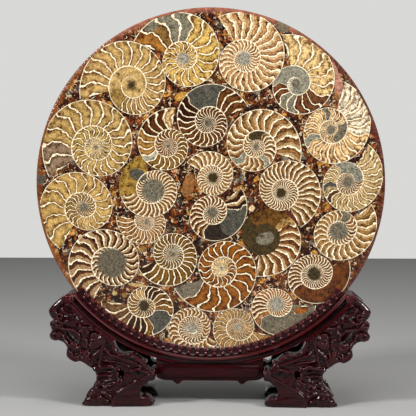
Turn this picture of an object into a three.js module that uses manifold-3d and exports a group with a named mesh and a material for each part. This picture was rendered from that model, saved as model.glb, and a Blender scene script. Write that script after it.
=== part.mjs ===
// Round polished slab of fossil ammonites, standing in its carved dragon stand.
// Millimetres, +Z up. The slab's polished face looks towards -Y. The origin is on
// the floor, under the middle of the stand.
import * as THREE from "three";
import { mergeVertices } from "three/addons/utils/BufferGeometryUtils.js";
import Module from "manifold-3d";

const wasm = await Module();
wasm.setup();

// ---------------------------------------------------------------- driving sizes
const GAP = 0.3; // clearance between pieces that touch

const SLAB_RADIUS = 150;
const SLAB_THICKNESS = 18;
const SLAB_BEVEL = 1.6;
const SLAB_SIDES = 72;
const SLAB_CENTRE_Z = 189.4;
const FACE_Y = -SLAB_THICKNESS / 2;

const SHELL_DEPTH = 8; // how deep a halved shell sits in the matrix
const SHELL_NARROWING = 0.035; // share of its size that it loses with each millimetre
const SHELL_REACH = 147.8; // no shell comes nearer the slab's rim than this radius
const OUTLINE_STEP = 20; // degrees between outline points of a shell

const RAIL_HALF_ANGLE = 50.5; // the rail's reach each side of straight down
const RAIL_OUTER = 157;
const RAIL_FLAT_Z = 35.6; // the rail's middle is planed flat here
const LIP_RADIUS = 142; // the lips cover the slab's edge down from this radius
// The rail's section beside the slab: distance outwards from the lip's inner edge,
// and height above the slab's face.
const RAIL_STEPS = [
  [0, 0], [0, 5], [1.6, 7.4], [5.8, 8.4], [6.4, 10.6], [8, 11.7], [10, 10.4],
  [RAIL_OUTER - LIP_RADIUS, 10.4],
];
const RAIL_SIDES = 60;
const SCROLL_RADIUS = 5;
const SCROLL_SIDES = 12;
const SCROLL_HALF_DEPTH = 22;
const SCROLL_ARC = 156; // distance of the end scrolls from the slab's centre
const BEAD_ARC = 145.6;
const BEAD_RADIUS = 2.4;
const BEAD_HEIGHT = 4;
const BEAD_TIP = -19.4; // how far the beads on the front lip come forward
const BEAD_COUNT = 27;

const STAND_HALF_DEPTH = 37.5;
const PANEL_FRONT = 35; // carved panels: distance of their faces from the middle
const PANEL_BACK = 16;
const APRON_HALF_WIDTH = 46;
const APRON_HALF_DEPTH = 16;
const APRON_LOW_Z = 19.4;
const APRON_CORNER_RISE = 3;
const APRON_SHOULDER_Z = 33;
const APRON_TOP_Z = 39;
const DROP = { x: 27.7, halfWidth: 5, length: 3.4 };

// Each shell: name, x and z of its coil from the slab's centre, direction of its
// mouth in degrees, coil (1 widens anticlockwise, -1 clockwise), and its radii at
// the mouth and at each quarter turn back to one whole turn.
const AMMONITES = [
  ["rim_01", -67.5, 83.5, 195, 1, [46.5, 39.5, 30.5, 26.5, 20.5]],
  ["rim_02", -98.5, 30.5, 212, 1, [48.5, 44, 34.5, 27.5, 22]],
  ["rim_03", -109, -21.5, 240, 1, [42, 37, 27.5, 24, 18]],
  ["rim_04", -84.5, -69.5, 243, 1, [40, 37, 26, 23, 19]],
  ["rim_05", -22.5, 106, 163, 1, [46.5, 38.5, 29, 23, 17.5]],
  ["rim_06", 29, 106, 122, 1, [42.5, 37, 31, 23.5, 17.5]],
  ["rim_07", 73.5, 84.5, 106, 1, [44, 34.5, 27.5, 21, 16.5]],
  ["rim_08", 103.5, 45.5, 74, 1, [42.5, 32.5, 29, 22.5, 18]],
  ["rim_09", 118, 0.5, 62, 1, [37, 27.5, 25, 20, 16.5]],
  ["rim_10", 110.5, -41.5, 40, 1, [36.5, 27, 24, 18.5, 17.5]],
  ["rim_11", 89.5, -78.5, 22, 1, [32.5, 26.5, 24, 17.5, 16.5]],
  ["rim_12", 57.5, -104.5, 358, 1, [34, 27.5, 21.5, 13.5, 13.5]],
  ["rim_13", 24, -124.5, 345, 1, [29.5, 24, 21, 15.5, 14]],
  ["rim_14", -15.5, -125.5, 330, 1, [26, 22.5, 19.5, 17, 15.5]],
  ["rim_15", -57, -106.5, 174, -1, [38, 27.5, 26, 17.5, 14.5]],
  ["inner_16", -33, -61.5, 204, -1, [32, 26.5, 20.5, 17.5, 15.5]],
  ["inner_17", 10, -74, 203, -1, [45, 35, 28.5, 22.5, 19.5]],
  ["inner_18", 2, -26, 42, 1, [33.5, 26.5, 22.5, 16.5, 14]],
  ["inner_19", 2.5, 4, 150, 1, [26.5, 21, 16, 15, 13]],
  ["inner_20", -1.5, 51, 22, -1, [37.5, 32.5, 25, 19, 16]],
  ["inner_21", -35.5, 31, 80, -1, [34, 27.5, 21, 17, 15.5]],
  ["inner_22", 39.5, 30.5, 342, -1, [40.5, 34, 26.5, 22, 18]],
  ["inner_23", 61, -9, 300, -1, [34.5, 33.5, 24.5, 16.5, 15]],
  ["inner_24", 44.5, -46, 262, -1, [35.5, 34.5, 23.5, 17.5, 16.5]],
  ["inner_25", -49, -6.5, 105, -1, [33, 28.5, 23, 20.5, 16.5]],
  ["inner_26", -54.5, -34, 168, -1, [27.5, 19.5, 17, 13, 11]],
];

// Carved side panel, seen from the front on the +X side: down its outer edge from
// the rail's end, past the dragon's brow, muzzle and jaw, down the leg, along the
// foot, and back up its inner edge to the rail.
const PANEL_OUTLINE = [
  [112, 92.4], [120.8, 95.4], [126.3, 91.4], [132.8, 85.6], [135.9, 80.9], [134.4, 76.3],
  [131.3, 72.4], [134.8, 71.7], [135.1, 68.6], [133.6, 64], [135.4, 60.9],
  [134.8, 57.5], [132.1, 55.9], [128, 55.8], [123.6, 54], [120.5, 49.4], [120.5, 42.4],
  [114, 37.8], [109, 38.5], [100.6, 33.2], [96.8, 29.3], [95.8, 22.3], [99, 16.2],
  [102.8, 12.3], [105.5, 5.4], [104.3, 0], [51.4, 0], [49.4, 6.2], [53.2, 8.8],
  [57.5, 8.8], [59.2, 11.6], [57.5, 16.2], [50.7, 21.6], [46.3, 22.4], [46.3, 32.1],
  [49.8, 30.2], [52.9, 33.4], [53.6, 37.8], [56.8, 39.3], [65.2, 44.7], [73.7, 44.7],
  [78.2, 47.8], [81.4, 54], [83, 58.4], [98, 75.4],
];
const MOUTH_HOLE = [[121.7, 64], [115, 62.9], [109, 57.9], [111, 53.4], [117, 55.9]];
const LEG_HOLE = [[76, 30.8], [72.2, 29.5], [73.5, 22.8], [77.7, 24.4]];
// The block that joins the front and back panels, kept clear of the holes.
const WEB_OUTLINE = [
  [112, 86.4], [106, 64.4], [106, 48.4], [93, 36.4], [91, 24.4], [95, 14.4], [80, 14.4], [81, 33.4],
  [69, 33.4], [69, 26.4], [46.3, 24.4], [46.3, 29.4], [58, 29.4], [66, 40.4], [76, 41.4],
  [83, 48.4], [86, 62.4],
];
const BRACKET_BAND = [
  [46.3, 31.8], [56, 28.4], [66, 22.8], [75.2, 16.4], [83.6, 10.9], [85.3, 6.6],
  [76, 9.2], [66, 16], [56, 22.4], [46.3, 25.7],
];
const LEG_LEDGE = { from: 80.5, to: 99.5, low: 32.4, high: 34.8 };
const LEG_RIBS = { from: 82, to: 94, levels: [26.8, 22, 17.4, 12.6], height: 1.8, up: 1.2 };
const BRACKET_UP = 1.5;
const RELIEF_ROOT = 2; // how far relief is let into the panel
const JAW_CURL = { x: 131.2, z: 59.8, radius: 4.2 };
const EYE = { x: 126.2, z: 77.6, radius: 2.6 };
const SHOULDER_SCROLL = { x: 98.6, z: 55.8, radius: 9.2 };

// ---------------------------------------------------------------- helpers
const radians = THREE.MathUtils.degToRad;

/** Turn a three.js geometry into a solid that can be cut and joined. */
function solid(geometry) {
  const bare = geometry.index ? geometry.toNonIndexed() : geometry.clone();
  bare.deleteAttribute("normal");
  bare.deleteAttribute("uv");
  const merged = mergeVertices(bare, 1e-4);
  return new wasm.Manifold(new wasm.Mesh({
    numProp: 3,
    vertProperties: new Float32Array(merged.attributes.position.array),
    triVerts: new Uint32Array(merged.index.array),
  }));
}

/** Turn a finished solid into a named mesh. */
function piece(name, body, material) {
  const mesh = body.getMesh();
  const geometry = new THREE.BufferGeometry();
  geometry.setAttribute("position", new THREE.BufferAttribute(mesh.vertProperties, 3));
  geometry.setIndex(new THREE.BufferAttribute(mesh.triVerts, 1));
  geometry.computeVertexNormals();
  const object = new THREE.Mesh(geometry, material);
  object.name = name;
  return object;
}

/** Join several solids into one. */
function join(solids) {
  return solids.reduce((whole, next) => whole.add(next));
}

/** Prism of an outline in x and z, between two depths; its back end may be tapered. */
function prism(outline, front, back, holes = [], taper = 1, middle = [0, 0]) {
  const points = (loop) => loop.map(([x, z]) => new THREE.Vector2(x, z));
  const shape = new THREE.Shape(points(outline));
  shape.holes = holes.map((hole) => new THREE.Path(points(hole)));
  const geometry = new THREE.ExtrudeGeometry(shape, {
    depth: back - front,
    bevelEnabled: false,
  });
  const position = geometry.attributes.position;
  for (let i = 0; i < position.count; i += 1) {
    const scale = position.getZ(i) === 0 ? taper : 1;
    position.setX(i, middle[0] + (position.getX(i) - middle[0]) * scale);
    position.setY(i, middle[1] + (position.getY(i) - middle[1]) * scale);
  }
  // Standing the drawing up turns its start into the back end.
  geometry.rotateX(Math.PI / 2);
  geometry.translate(0, back, 0);
  return solid(geometry);
}

/** Round disc whose axis runs along y. */
function disc(x, z, radius, front, back, sides) {
  const geometry = new THREE.CylinderGeometry(radius, radius, back - front, sides);
  geometry.translate(x, (front + back) / 2, z);
  return solid(geometry);
}

/** Ring or disc turned about the slab's own axis, from a closed profile of [radius, y]. */
function turned(profile, sides) {
  const points = profile.map(([radius, y]) => new THREE.Vector2(radius, y));
  const geometry = new THREE.LatheGeometry(points, sides);
  geometry.translate(0, 0, SLAB_CENTRE_Z);
  return solid(geometry);
}

/** The same solid on the other side of the middle plane x = 0 or y = 0. */
function mirrored(body, axis) {
  const mesh = body.getMesh();
  const vertices = Float32Array.from(mesh.vertProperties);
  for (let i = axis; i < vertices.length; i += 3) {
    vertices[i] = -vertices[i];
  }
  const triangles = Uint32Array.from(mesh.triVerts);
  for (let i = 0; i < triangles.length; i += 3) {
    [triangles[i], triangles[i + 1]] = [triangles[i + 1], triangles[i]];
  }
  return new wasm.Manifold(new wasm.Mesh({
    numProp: 3,
    vertProperties: vertices,
    triVerts: triangles,
  }));
}

/** Push a closed outline outwards by a distance; it must run anticlockwise. */
function grown(outline, distance) {
  const count = outline.length;
  return outline.map((point, i) => {
    const before = outline[(i + count - 1) % count];
    const after = outline[(i + 1) % count];
    const sideA = new THREE.Vector2(point[1] - before[1], before[0] - point[0]).normalize();
    const sideB = new THREE.Vector2(after[1] - point[1], point[0] - after[0]).normalize();
    const out = sideA.clone().add(sideB).normalize();
    const reach = distance / Math.max(0.5, out.dot(sideA));
    return [point[0] + out.x * reach, point[1] + out.y * reach];
  });
}

// ---------------------------------------------------------------- finishes
/** One finish. */
function finish(color, roughness) {
  return new THREE.MeshStandardMaterial({ color, roughness, metalness: 0 });
}

const matrixFinish = finish(0x4a2114, 0.25);
const shellFinish = finish(0xc9a06a, 0.25);
const lacquerFinish = finish(0x3c0d12, 0.3);

// ---------------------------------------------------------------- the slab
/** A shell's radius at an angle back from its mouth: smooth through its quarter turns. */
function coilRadius(radii, back) {
  const growth = Math.log(radii[0] / radii[4]);
  const quarter = (i) => Math.log(radii[((i % 4) + 4) % 4]) - growth * Math.floor(i / 4);
  const i = Math.floor(back / 90);
  const t = back / 90 - i;
  const [a, b, c, d] = [quarter(i - 1), quarter(i), quarter(i + 1), quarter(i + 2)];
  const bend = (2 * a - 5 * b + 4 * c - d) * t + (3 * b - a - 3 * c + d) * t * t;
  return Math.exp(b + 0.5 * t * (c - a + bend));
}

/** Outline of a shell's polished face, anticlockwise, in x and z. */
function shellOutline([, x, z, mouth, coil, radii]) {
  const points = [];
  for (let back = 0; back <= 360; back += OUTLINE_STEP) {
    const angle = radians(mouth - coil * back);
    const radius = coilRadius(radii, back);
    points.push([x + radius * Math.cos(angle), SLAB_CENTRE_Z + z + radius * Math.sin(angle)]);
  }
  return coil > 0 ? points.reverse() : points;
}

/** Half shell with its flat face on the slab's face, larger all round by a clearance. */
function shellBody(shell, clearance) {
  const [, x, z] = shell;
  const depth = SHELL_DEPTH + clearance;
  return prism(
    grown(shellOutline(shell), clearance),
    FACE_Y,
    FACE_Y + depth,
    [],
    1 - SHELL_NARROWING * depth,
    [x, SLAB_CENTRE_Z + z],
  );
}

/** Disc profile from the middle of one face, round the rim, to the middle of the other. */
function slabProfile() {
  const half = SLAB_THICKNESS / 2;
  return [
    [0, -half],
    [SLAB_RADIUS - SLAB_BEVEL, -half],
    [SLAB_RADIUS, SLAB_BEVEL - half],
    [SLAB_RADIUS, half - SLAB_BEVEL],
    [SLAB_RADIUS - SLAB_BEVEL, half],
    [0, half],
  ];
}

/** The shells, each clear of the ones before it, and the matrix they sit in. */
function slab() {
  const group = new THREE.Group();
  const bound = disc(0, SLAB_CENTRE_Z, SHELL_REACH, FACE_Y, -FACE_Y, SLAB_SIDES);
  const pocketBound = disc(
    0,
    SLAB_CENTRE_Z,
    SHELL_REACH + GAP,
    FACE_Y - 1,
    -FACE_Y,
    SLAB_SIDES,
  );
  let matrix = turned(slabProfile(), SLAB_SIDES);
  const taken = [];
  for (const shell of AMMONITES) {
    let body = shellBody(shell, 0).intersect(bound);
    for (const pocket of taken) {
      body = body.subtract(pocket);
    }
    const pocket = shellBody(shell, GAP).intersect(pocketBound);
    matrix = matrix.subtract(pocket);
    taken.push(pocket);
    group.add(piece(`ammonite_${shell[0]}`, body, shellFinish));
  }
  group.add(piece("matrix_slab", matrix, matrixFinish));
  return group;
}

// ---------------------------------------------------------------- the stand
/** Closed profile of the rail round the slab's axis, with the groove that holds it. */
function railProfile() {
  const half = SLAB_THICKNESS / 2 + GAP;
  const steps = RAIL_STEPS.map(([out, up]) => [LIP_RADIUS + out, half + up]);
  const side = [[SLAB_RADIUS + GAP, half], ...steps];
  const front = side.map(([radius, y]) => [radius, -y]);
  return [...front, ...side.reverse(), front[0]];
}

/** Beads in a row along each lip of the rail. */
function beads() {
  const row = [];
  for (let i = 0; i < BEAD_COUNT; i += 1) {
    const share = (i + 0.5) / BEAD_COUNT - 0.5;
    const angle = radians(270 + 2 * (RAIL_HALF_ANGLE - 1.5) * share);
    const bead = new THREE.ConeGeometry(BEAD_RADIUS, BEAD_HEIGHT, 4);
    bead.rotateX(-Math.PI / 2);
    bead.rotateY(-angle);
    bead.translate(
      BEAD_ARC * Math.cos(angle),
      BEAD_TIP + BEAD_HEIGHT / 2,
      SLAB_CENTRE_Z + BEAD_ARC * Math.sin(angle),
    );
    row.push(solid(bead));
  }
  return join(row);
}

/** The crescent rail: grooved, beaded, scrolled at its ends and flat under its middle. */
function rail() {
  const reach = RAIL_OUTER * 1.3;
  const angle = radians(RAIL_HALF_ANGLE);
  const wedge = prism(
    [
      [0, SLAB_CENTRE_Z],
      [-reach * Math.sin(angle), SLAB_CENTRE_Z - reach * Math.cos(angle)],
      [-reach * Math.sin(angle), RAIL_FLAT_Z],
      [reach * Math.sin(angle), RAIL_FLAT_Z],
      [reach * Math.sin(angle), SLAB_CENTRE_Z - reach * Math.cos(angle)],
    ],
    -STAND_HALF_DEPTH,
    STAND_HALF_DEPTH,
  );
  const row = beads();
  const arc = turned(railProfile(), RAIL_SIDES).intersect(wedge);
  const slot = disc(
    0,
    SLAB_CENTRE_Z,
    SLAB_RADIUS + GAP,
    -SLAB_THICKNESS / 2 - GAP,
    SLAB_THICKNESS / 2 + GAP,
    RAIL_SIDES,
  );
  const scrolls = [-1, 1].map((side) => disc(
    side * SCROLL_ARC * Math.sin(angle),
    SLAB_CENTRE_Z - SCROLL_ARC * Math.cos(angle),
    SCROLL_RADIUS,
    -SCROLL_HALF_DEPTH,
    SCROLL_HALF_DEPTH,
    SCROLL_SIDES,
  ));
  const body = join([arc, row, mirrored(row, 1), ...scrolls]).subtract(slot);
  return piece("stand_rail", body, lacquerFinish);
}

/** Room that the rail needs in the pieces under it. */
function railRoom() {
  const reach = STAND_HALF_DEPTH + 1;
  return disc(0, SLAB_CENTRE_Z, RAIL_OUTER + GAP, -reach, reach, RAIL_SIDES);
}

/** Relief on the front of a side panel: dragon's features, leg ledge, ribs and bracket. */
function panelRelief() {
  const deep = -PANEL_FRONT + RELIEF_ROOT;
  const bar = (from, to, low, high, front) => prism(
    [[from, low], [to, low], [to, high], [from, high]],
    front,
    deep,
  );
  const ribs = LEG_RIBS.levels.map((level) => bar(
    LEG_RIBS.from,
    LEG_RIBS.to,
    level - LEG_RIBS.height / 2,
    level + LEG_RIBS.height / 2,
    -PANEL_FRONT - LEG_RIBS.up,
  ));
  const curl = (scroll, front, share) => disc(
    scroll.x,
    scroll.z,
    scroll.radius * share,
    front,
    deep,
    SCROLL_SIDES,
  );
  return join([
    ...ribs,
    bar(LEG_LEDGE.from, LEG_LEDGE.to, LEG_LEDGE.low, LEG_LEDGE.high, -STAND_HALF_DEPTH),
    prism(BRACKET_BAND, -PANEL_FRONT - BRACKET_UP, deep),
    curl(JAW_CURL, -STAND_HALF_DEPTH, 0.9),
    curl(EYE, -STAND_HALF_DEPTH, 1),
    curl(SHOULDER_SCROLL, -PANEL_FRONT - 1, 1),
    curl(SHOULDER_SCROLL, -STAND_HALF_DEPTH, 0.5),
  ]);
}

/** Side support on the +X side: two carved panels and the block between them. */
function supportBody() {
  const panel = prism(PANEL_OUTLINE, -PANEL_FRONT, -PANEL_BACK, [MOUTH_HOLE, LEG_HOLE]);
  const front = panel.add(panelRelief());
  const web = prism(WEB_OUTLINE, -PANEL_BACK - 1, PANEL_BACK + 1);
  const angle = radians(RAIL_HALF_ANGLE);
  const scrollRoom = disc(
    SCROLL_ARC * Math.sin(angle),
    SLAB_CENTRE_Z - SCROLL_ARC * Math.cos(angle),
    SCROLL_RADIUS + GAP,
    -SCROLL_HALF_DEPTH - GAP,
    SCROLL_HALF_DEPTH + GAP,
    SCROLL_SIDES,
  );
  return join([front, mirrored(front, 1), web]).subtract(railRoom()).subtract(scrollRoom);
}

/** Recessed apron under the rail, with two drops and its ends carried up to the arc. */
function apron() {
  const half = [
    [0, APRON_LOW_Z],
    [DROP.x - DROP.halfWidth, APRON_LOW_Z],
    [DROP.x, APRON_LOW_Z - DROP.length],
    [DROP.x + DROP.halfWidth, APRON_LOW_Z],
    [APRON_HALF_WIDTH, APRON_LOW_Z + APRON_CORNER_RISE],
    [APRON_HALF_WIDTH, RAIL_FLAT_Z - GAP],
  ];
  const outline = [...half, ...half.slice(1).reverse().map(([x, z]) => [-x, z])];
  const board = prism(outline, -APRON_HALF_DEPTH, APRON_HALF_DEPTH);
  const ends = prism(
    [
      [-APRON_HALF_WIDTH, APRON_SHOULDER_Z],
      [APRON_HALF_WIDTH, APRON_SHOULDER_Z],
      [APRON_HALF_WIDTH, APRON_TOP_Z],
      [-APRON_HALF_WIDTH, APRON_TOP_Z],
    ],
    -APRON_HALF_DEPTH,
    APRON_HALF_DEPTH,
  );
  return piece("stand_apron", board.add(ends.subtract(railRoom())), lacquerFinish);
}

/** The whole stand. */
function stand() {
  const group = new THREE.Group();
  const support = supportBody();
  group.add(rail());
  group.add(piece("dragon_support_right", support, lacquerFinish));
  group.add(piece("dragon_support_left", mirrored(support, 0), lacquerFinish));
  group.add(apron());
  return group;
}

const plate = new THREE.Group();
plate.add(slab());
plate.add(stand());

export default plate;
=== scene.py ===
"""Round polished slab of fossil ammonites, standing in its carved dragon stand.

Sizes are in millimetres unless a name says otherwise, and meshes are in metres. The
slab's polished face looks towards -Y, and the origin is on the floor.
"""

import logging
import math
from dataclasses import dataclass
from enum import Enum
from typing import Iterable, Sequence

import bpy
import numpy as np
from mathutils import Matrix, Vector


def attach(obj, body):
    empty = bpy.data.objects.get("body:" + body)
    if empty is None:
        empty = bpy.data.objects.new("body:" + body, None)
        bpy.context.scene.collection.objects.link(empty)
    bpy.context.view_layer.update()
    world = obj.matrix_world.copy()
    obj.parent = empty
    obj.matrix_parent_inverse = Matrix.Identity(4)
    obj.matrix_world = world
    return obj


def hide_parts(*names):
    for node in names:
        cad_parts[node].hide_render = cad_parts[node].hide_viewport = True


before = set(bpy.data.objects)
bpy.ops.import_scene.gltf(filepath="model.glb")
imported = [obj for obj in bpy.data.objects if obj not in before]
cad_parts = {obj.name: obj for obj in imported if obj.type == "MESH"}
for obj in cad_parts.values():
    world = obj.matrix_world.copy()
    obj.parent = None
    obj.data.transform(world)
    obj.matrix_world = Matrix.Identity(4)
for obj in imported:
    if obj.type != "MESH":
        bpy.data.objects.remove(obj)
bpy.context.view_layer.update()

log = logging.getLogger("ammonite_plate")

MM = 0.001
BODY = "root"
IMAGE_SIDE = 416

GAP = 0.3
SLAB_RADIUS = 150.0
SLAB_THICKNESS = 18.0
SLAB_CENTRE_Z = 189.4
SLAB_SIDES = 256
FACE_Y = -SLAB_THICKNESS / 2
SHELL_REACH = 147.8

RAIL_HALF_ANGLE = 50.5
RAIL_OUTER = 157.0
RAIL_FLAT_Z = 35.6
LIP_RADIUS = 142.0
SCROLL_ARC = 156.0
SCROLL_RADIUS = 5.0
SCROLL_HALF_DEPTH = 22.0
STAND_HALF_DEPTH = 37.5

Point2 = tuple[float, float]
Point3 = tuple[float, float, float]
Loop = Sequence[Point2]
Colour = tuple[float, float, float, float]
Cloud = tuple[float, float, float, float]
Piece = bpy.types.Object
Socket = bpy.types.NodeSocket
Node = bpy.types.Node
Tree = bpy.types.NodeTree


# ---------------------------------------------------------------- mesh helpers
def leave_edit() -> None:
    """Go back to object mode."""
    bpy.ops.object.mode_set(mode="OBJECT")


def select_nothing() -> None:
    """Leave edit mode and deselect every object."""
    if bpy.context.mode != "OBJECT":
        leave_edit()
    bpy.ops.object.select_all(action="DESELECT")


def take(*pieces: Piece) -> None:
    """Select these objects alone, and make the first one active."""
    select_nothing()
    for piece in pieces:
        piece.select_set(True)
    bpy.context.view_layer.objects.active = pieces[0]


def edit(piece: Piece) -> None:
    """Enter edit mode with everything selected.

    Args:
        piece: The object to edit.
    """
    take(piece)
    bpy.ops.object.mode_set(mode="EDIT")
    bpy.ops.mesh.select_all(action="SELECT")


def named(name: str) -> Piece:
    """Name the active object and its mesh.

    Args:
        name: Its new name.

    Returns:
        The active object.
    """
    piece = bpy.context.object
    piece.name = piece.data.name = name
    return piece


def primitive(kind: str, name: str, **settings: object) -> Piece:
    """Add a primitive.

    Args:
        kind: Which one, such as uv_sphere.
        name: The new object's name.
        **settings: The operator's own settings.

    Returns:
        The new object.
    """
    select_nothing()
    getattr(bpy.ops.mesh, f"primitive_{kind}_add")(**settings)
    return named(name)


def placed(name: str, data: bpy.types.ID) -> Piece:
    """Put new data into the scene as an object.

    Args:
        name: The new object's name.
        data: Its curve, camera or light.

    Returns:
        The new object.
    """
    piece = bpy.data.objects.new(name, data)
    bpy.context.scene.collection.objects.link(piece)
    return piece


def settle(piece: Piece) -> None:
    """Put an object's place, turn and size into its mesh."""
    take(piece)
    bpy.ops.object.transform_apply(location=True, rotation=True, scale=True)


def modify(piece: Piece, kind: str, **settings: object) -> None:
    """Add one modifier and apply it.

    Args:
        piece: The object to change.
        kind: Blender's name for the kind of modifier.
        **settings: The modifier's own settings.
    """
    take(piece)
    modifier = piece.modifiers.new(kind.lower(), kind)
    for key, value in settings.items():
        setattr(modifier, key, value)
    bpy.ops.object.modifier_apply(modifier=modifier.name)


def cut(piece: Piece, tool: Piece, way: str = "DIFFERENCE", solver: str = "EXACT") -> None:
    """Cut a mesh with a tool, or trim or join it; MANIFOLD suits large closed meshes."""
    modify(piece, "BOOLEAN", operation=way, object=tool, solver=solver)


def remove(*pieces: Piece) -> None:
    """Delete helper objects with their meshes."""
    for piece in pieces:
        mesh = piece.data
        bpy.data.objects.remove(piece)
        bpy.data.meshes.remove(mesh)


def face_outwards() -> None:
    """Turn all faces of the mesh in edit mode outwards, and leave edit mode."""
    bpy.ops.mesh.select_all(action="SELECT")
    bpy.ops.mesh.normals_make_consistent(inside=False)
    leave_edit()


def clean(piece: Piece, distance: float = 0.004) -> None:
    """Merge doubles and turn all faces outwards.

    Args:
        piece: The mesh to tidy.
        distance: How near two points are when they become one.
    """
    edit(piece)
    bpy.ops.mesh.remove_doubles(threshold=distance * MM)
    face_outwards()


def smooth(piece: Piece, angle: float) -> None:
    """Shade a mesh smooth, but keep edges sharper than an angle in degrees."""
    take(piece)
    bpy.ops.object.shade_smooth_by_angle(angle=math.radians(angle))


def round_edges(piece: Piece, width: float, **settings: object) -> None:
    """Round the edges of a mesh with a bevel of three steps."""
    modify(piece, "BEVEL", width=width * MM, segments=3, **settings)


def join(name: str, *pieces: Piece) -> Piece:
    """Join several meshes into one object.

    Args:
        name: The joined object's name.
        *pieces: The meshes; the first one takes in the others.

    Returns:
        The joined object.
    """
    take(*pieces)
    bpy.ops.object.join()
    return named(name)


def copy_of(piece: Piece, name: str) -> Piece:
    """Copy an object with a mesh of its own.

    Args:
        piece: The object to copy.
        name: The copy's name.

    Returns:
        The copy.
    """
    take(piece)
    bpy.ops.object.duplicate(linked=False)
    return named(name)


def mirrored(piece: Piece, name: str, scale: tuple[int, int, int]) -> Piece:
    """Make the mirror image of an object about the origin.

    Args:
        piece: The object to mirror.
        name: The mirror image's name.
        scale: -1 along the axis that is mirrored, 1 along the others.

    Returns:
        The mirror image.
    """
    image = copy_of(piece, name)
    image.scale = scale
    settle(image)
    edit(image)
    face_outwards()
    return image


def filled_loop(name: str, points: Sequence[Point3]) -> Piece:
    """Fill a closed loop with one face.

    Args:
        name: The new object's name.
        points: The loop's corners.

    Returns:
        The flat face.
    """
    piece = primitive("circle", name, vertices=len(points), radius=1, fill_type="NGON")
    for vertex, point in zip(piece.data.vertices, points):
        vertex.co = [value * MM for value in point]
    return piece


def push_back(depth: float, narrowing: float, middle: Point3) -> None:
    """Extrude what is selected along y, and shrink its new end.

    Args:
        depth: How far it is pushed.
        narrowing: Size of the new end as a share of the old one.
        middle: The point that the new end shrinks towards, in metres.
    """
    bpy.ops.mesh.extrude_region_move(TRANSFORM_OT_translate={"value": (0, depth * MM, 0)})
    if narrowing != 1.0:
        bpy.ops.transform.resize(value=(narrowing, 1, narrowing), center_override=middle)


def prism(name: str, outline: Loop, front: float, back: float, narrowing: float = 1.0,
          middle: Point2 = (0.0, 0.0)) -> Piece:
    """Extrude an outline in x and z along y.

    Args:
        name: The new object's name.
        outline: Corners in x and z.
        front: Where the outline starts along y.
        back: Where it ends along y.
        narrowing: Size of the back end as a share of the front.
        middle: The point that the back end shrinks towards.

    Returns:
        The closed prism.
    """
    piece = filled_loop(name, [(x, front, z) for x, z in outline])
    edit(piece)
    push_back(back - front, narrowing, (middle[0] * MM, back * MM, middle[1] * MM))
    face_outwards()
    return piece


def disc(name: str, centre: Point2, radius: float, front: float, back: float,
         sides: int = SLAB_SIDES) -> Piece:
    """Round disc whose axis runs along y.

    Args:
        name: The new object's name.
        centre: Its centre in x and z.
        radius: Its radius.
        front: Where it starts along y.
        back: Where it ends along y.
        sides: Number of its sides.

    Returns:
        The disc.
    """
    x, z = centre
    piece = primitive("cylinder", name, vertices=sides, radius=radius * MM,
                      depth=(back - front) * MM,
                      location=(x * MM, (front + back) / 2 * MM, z * MM),
                      rotation=(math.pi / 2, 0, 0))
    settle(piece)
    return piece


def on_arc(radius: float, degrees: float) -> Point2:
    """A point at a radius from the slab's centre, at an angle right of straight down."""
    angle = math.radians(degrees)
    return radius * math.sin(angle), SLAB_CENTRE_Z - radius * math.cos(angle)


def grown(outline: Loop, distance: float) -> list[Point2]:
    """Push a closed outline outwards; it must run anticlockwise.

    Args:
        outline: Corners in x and z.
        distance: How far it grows.

    Returns:
        The larger outline.
    """
    points = np.array(outline, float)
    forward = np.roll(points, -1, 0) - points
    sides = np.stack([forward[:, 1], -forward[:, 0]], 1)
    sides /= np.linalg.norm(sides, axis=1)[:, None]
    before = np.roll(sides, 1, 0)
    out = before + sides
    out /= np.linalg.norm(out, axis=1)[:, None]
    reach = distance / np.maximum(0.5, (out * before).sum(1))
    return [tuple(point) for point in points + out * reach[:, None]]


def hand_in(piece: Piece, node: str, material: bpy.types.Material) -> None:
    """Dress a finished piece and tie it to the frame.

    Args:
        piece: The finished mesh, at the origin.
        node: The CAD node that it stands for.
        material: Its finish.
    """
    piece.data.materials.clear()
    piece.data.materials.append(material)
    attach(piece, BODY)
    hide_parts(node)
    log.info("%s: %d faces, finish %s", piece.name, len(piece.data.polygons), material.name)


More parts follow.
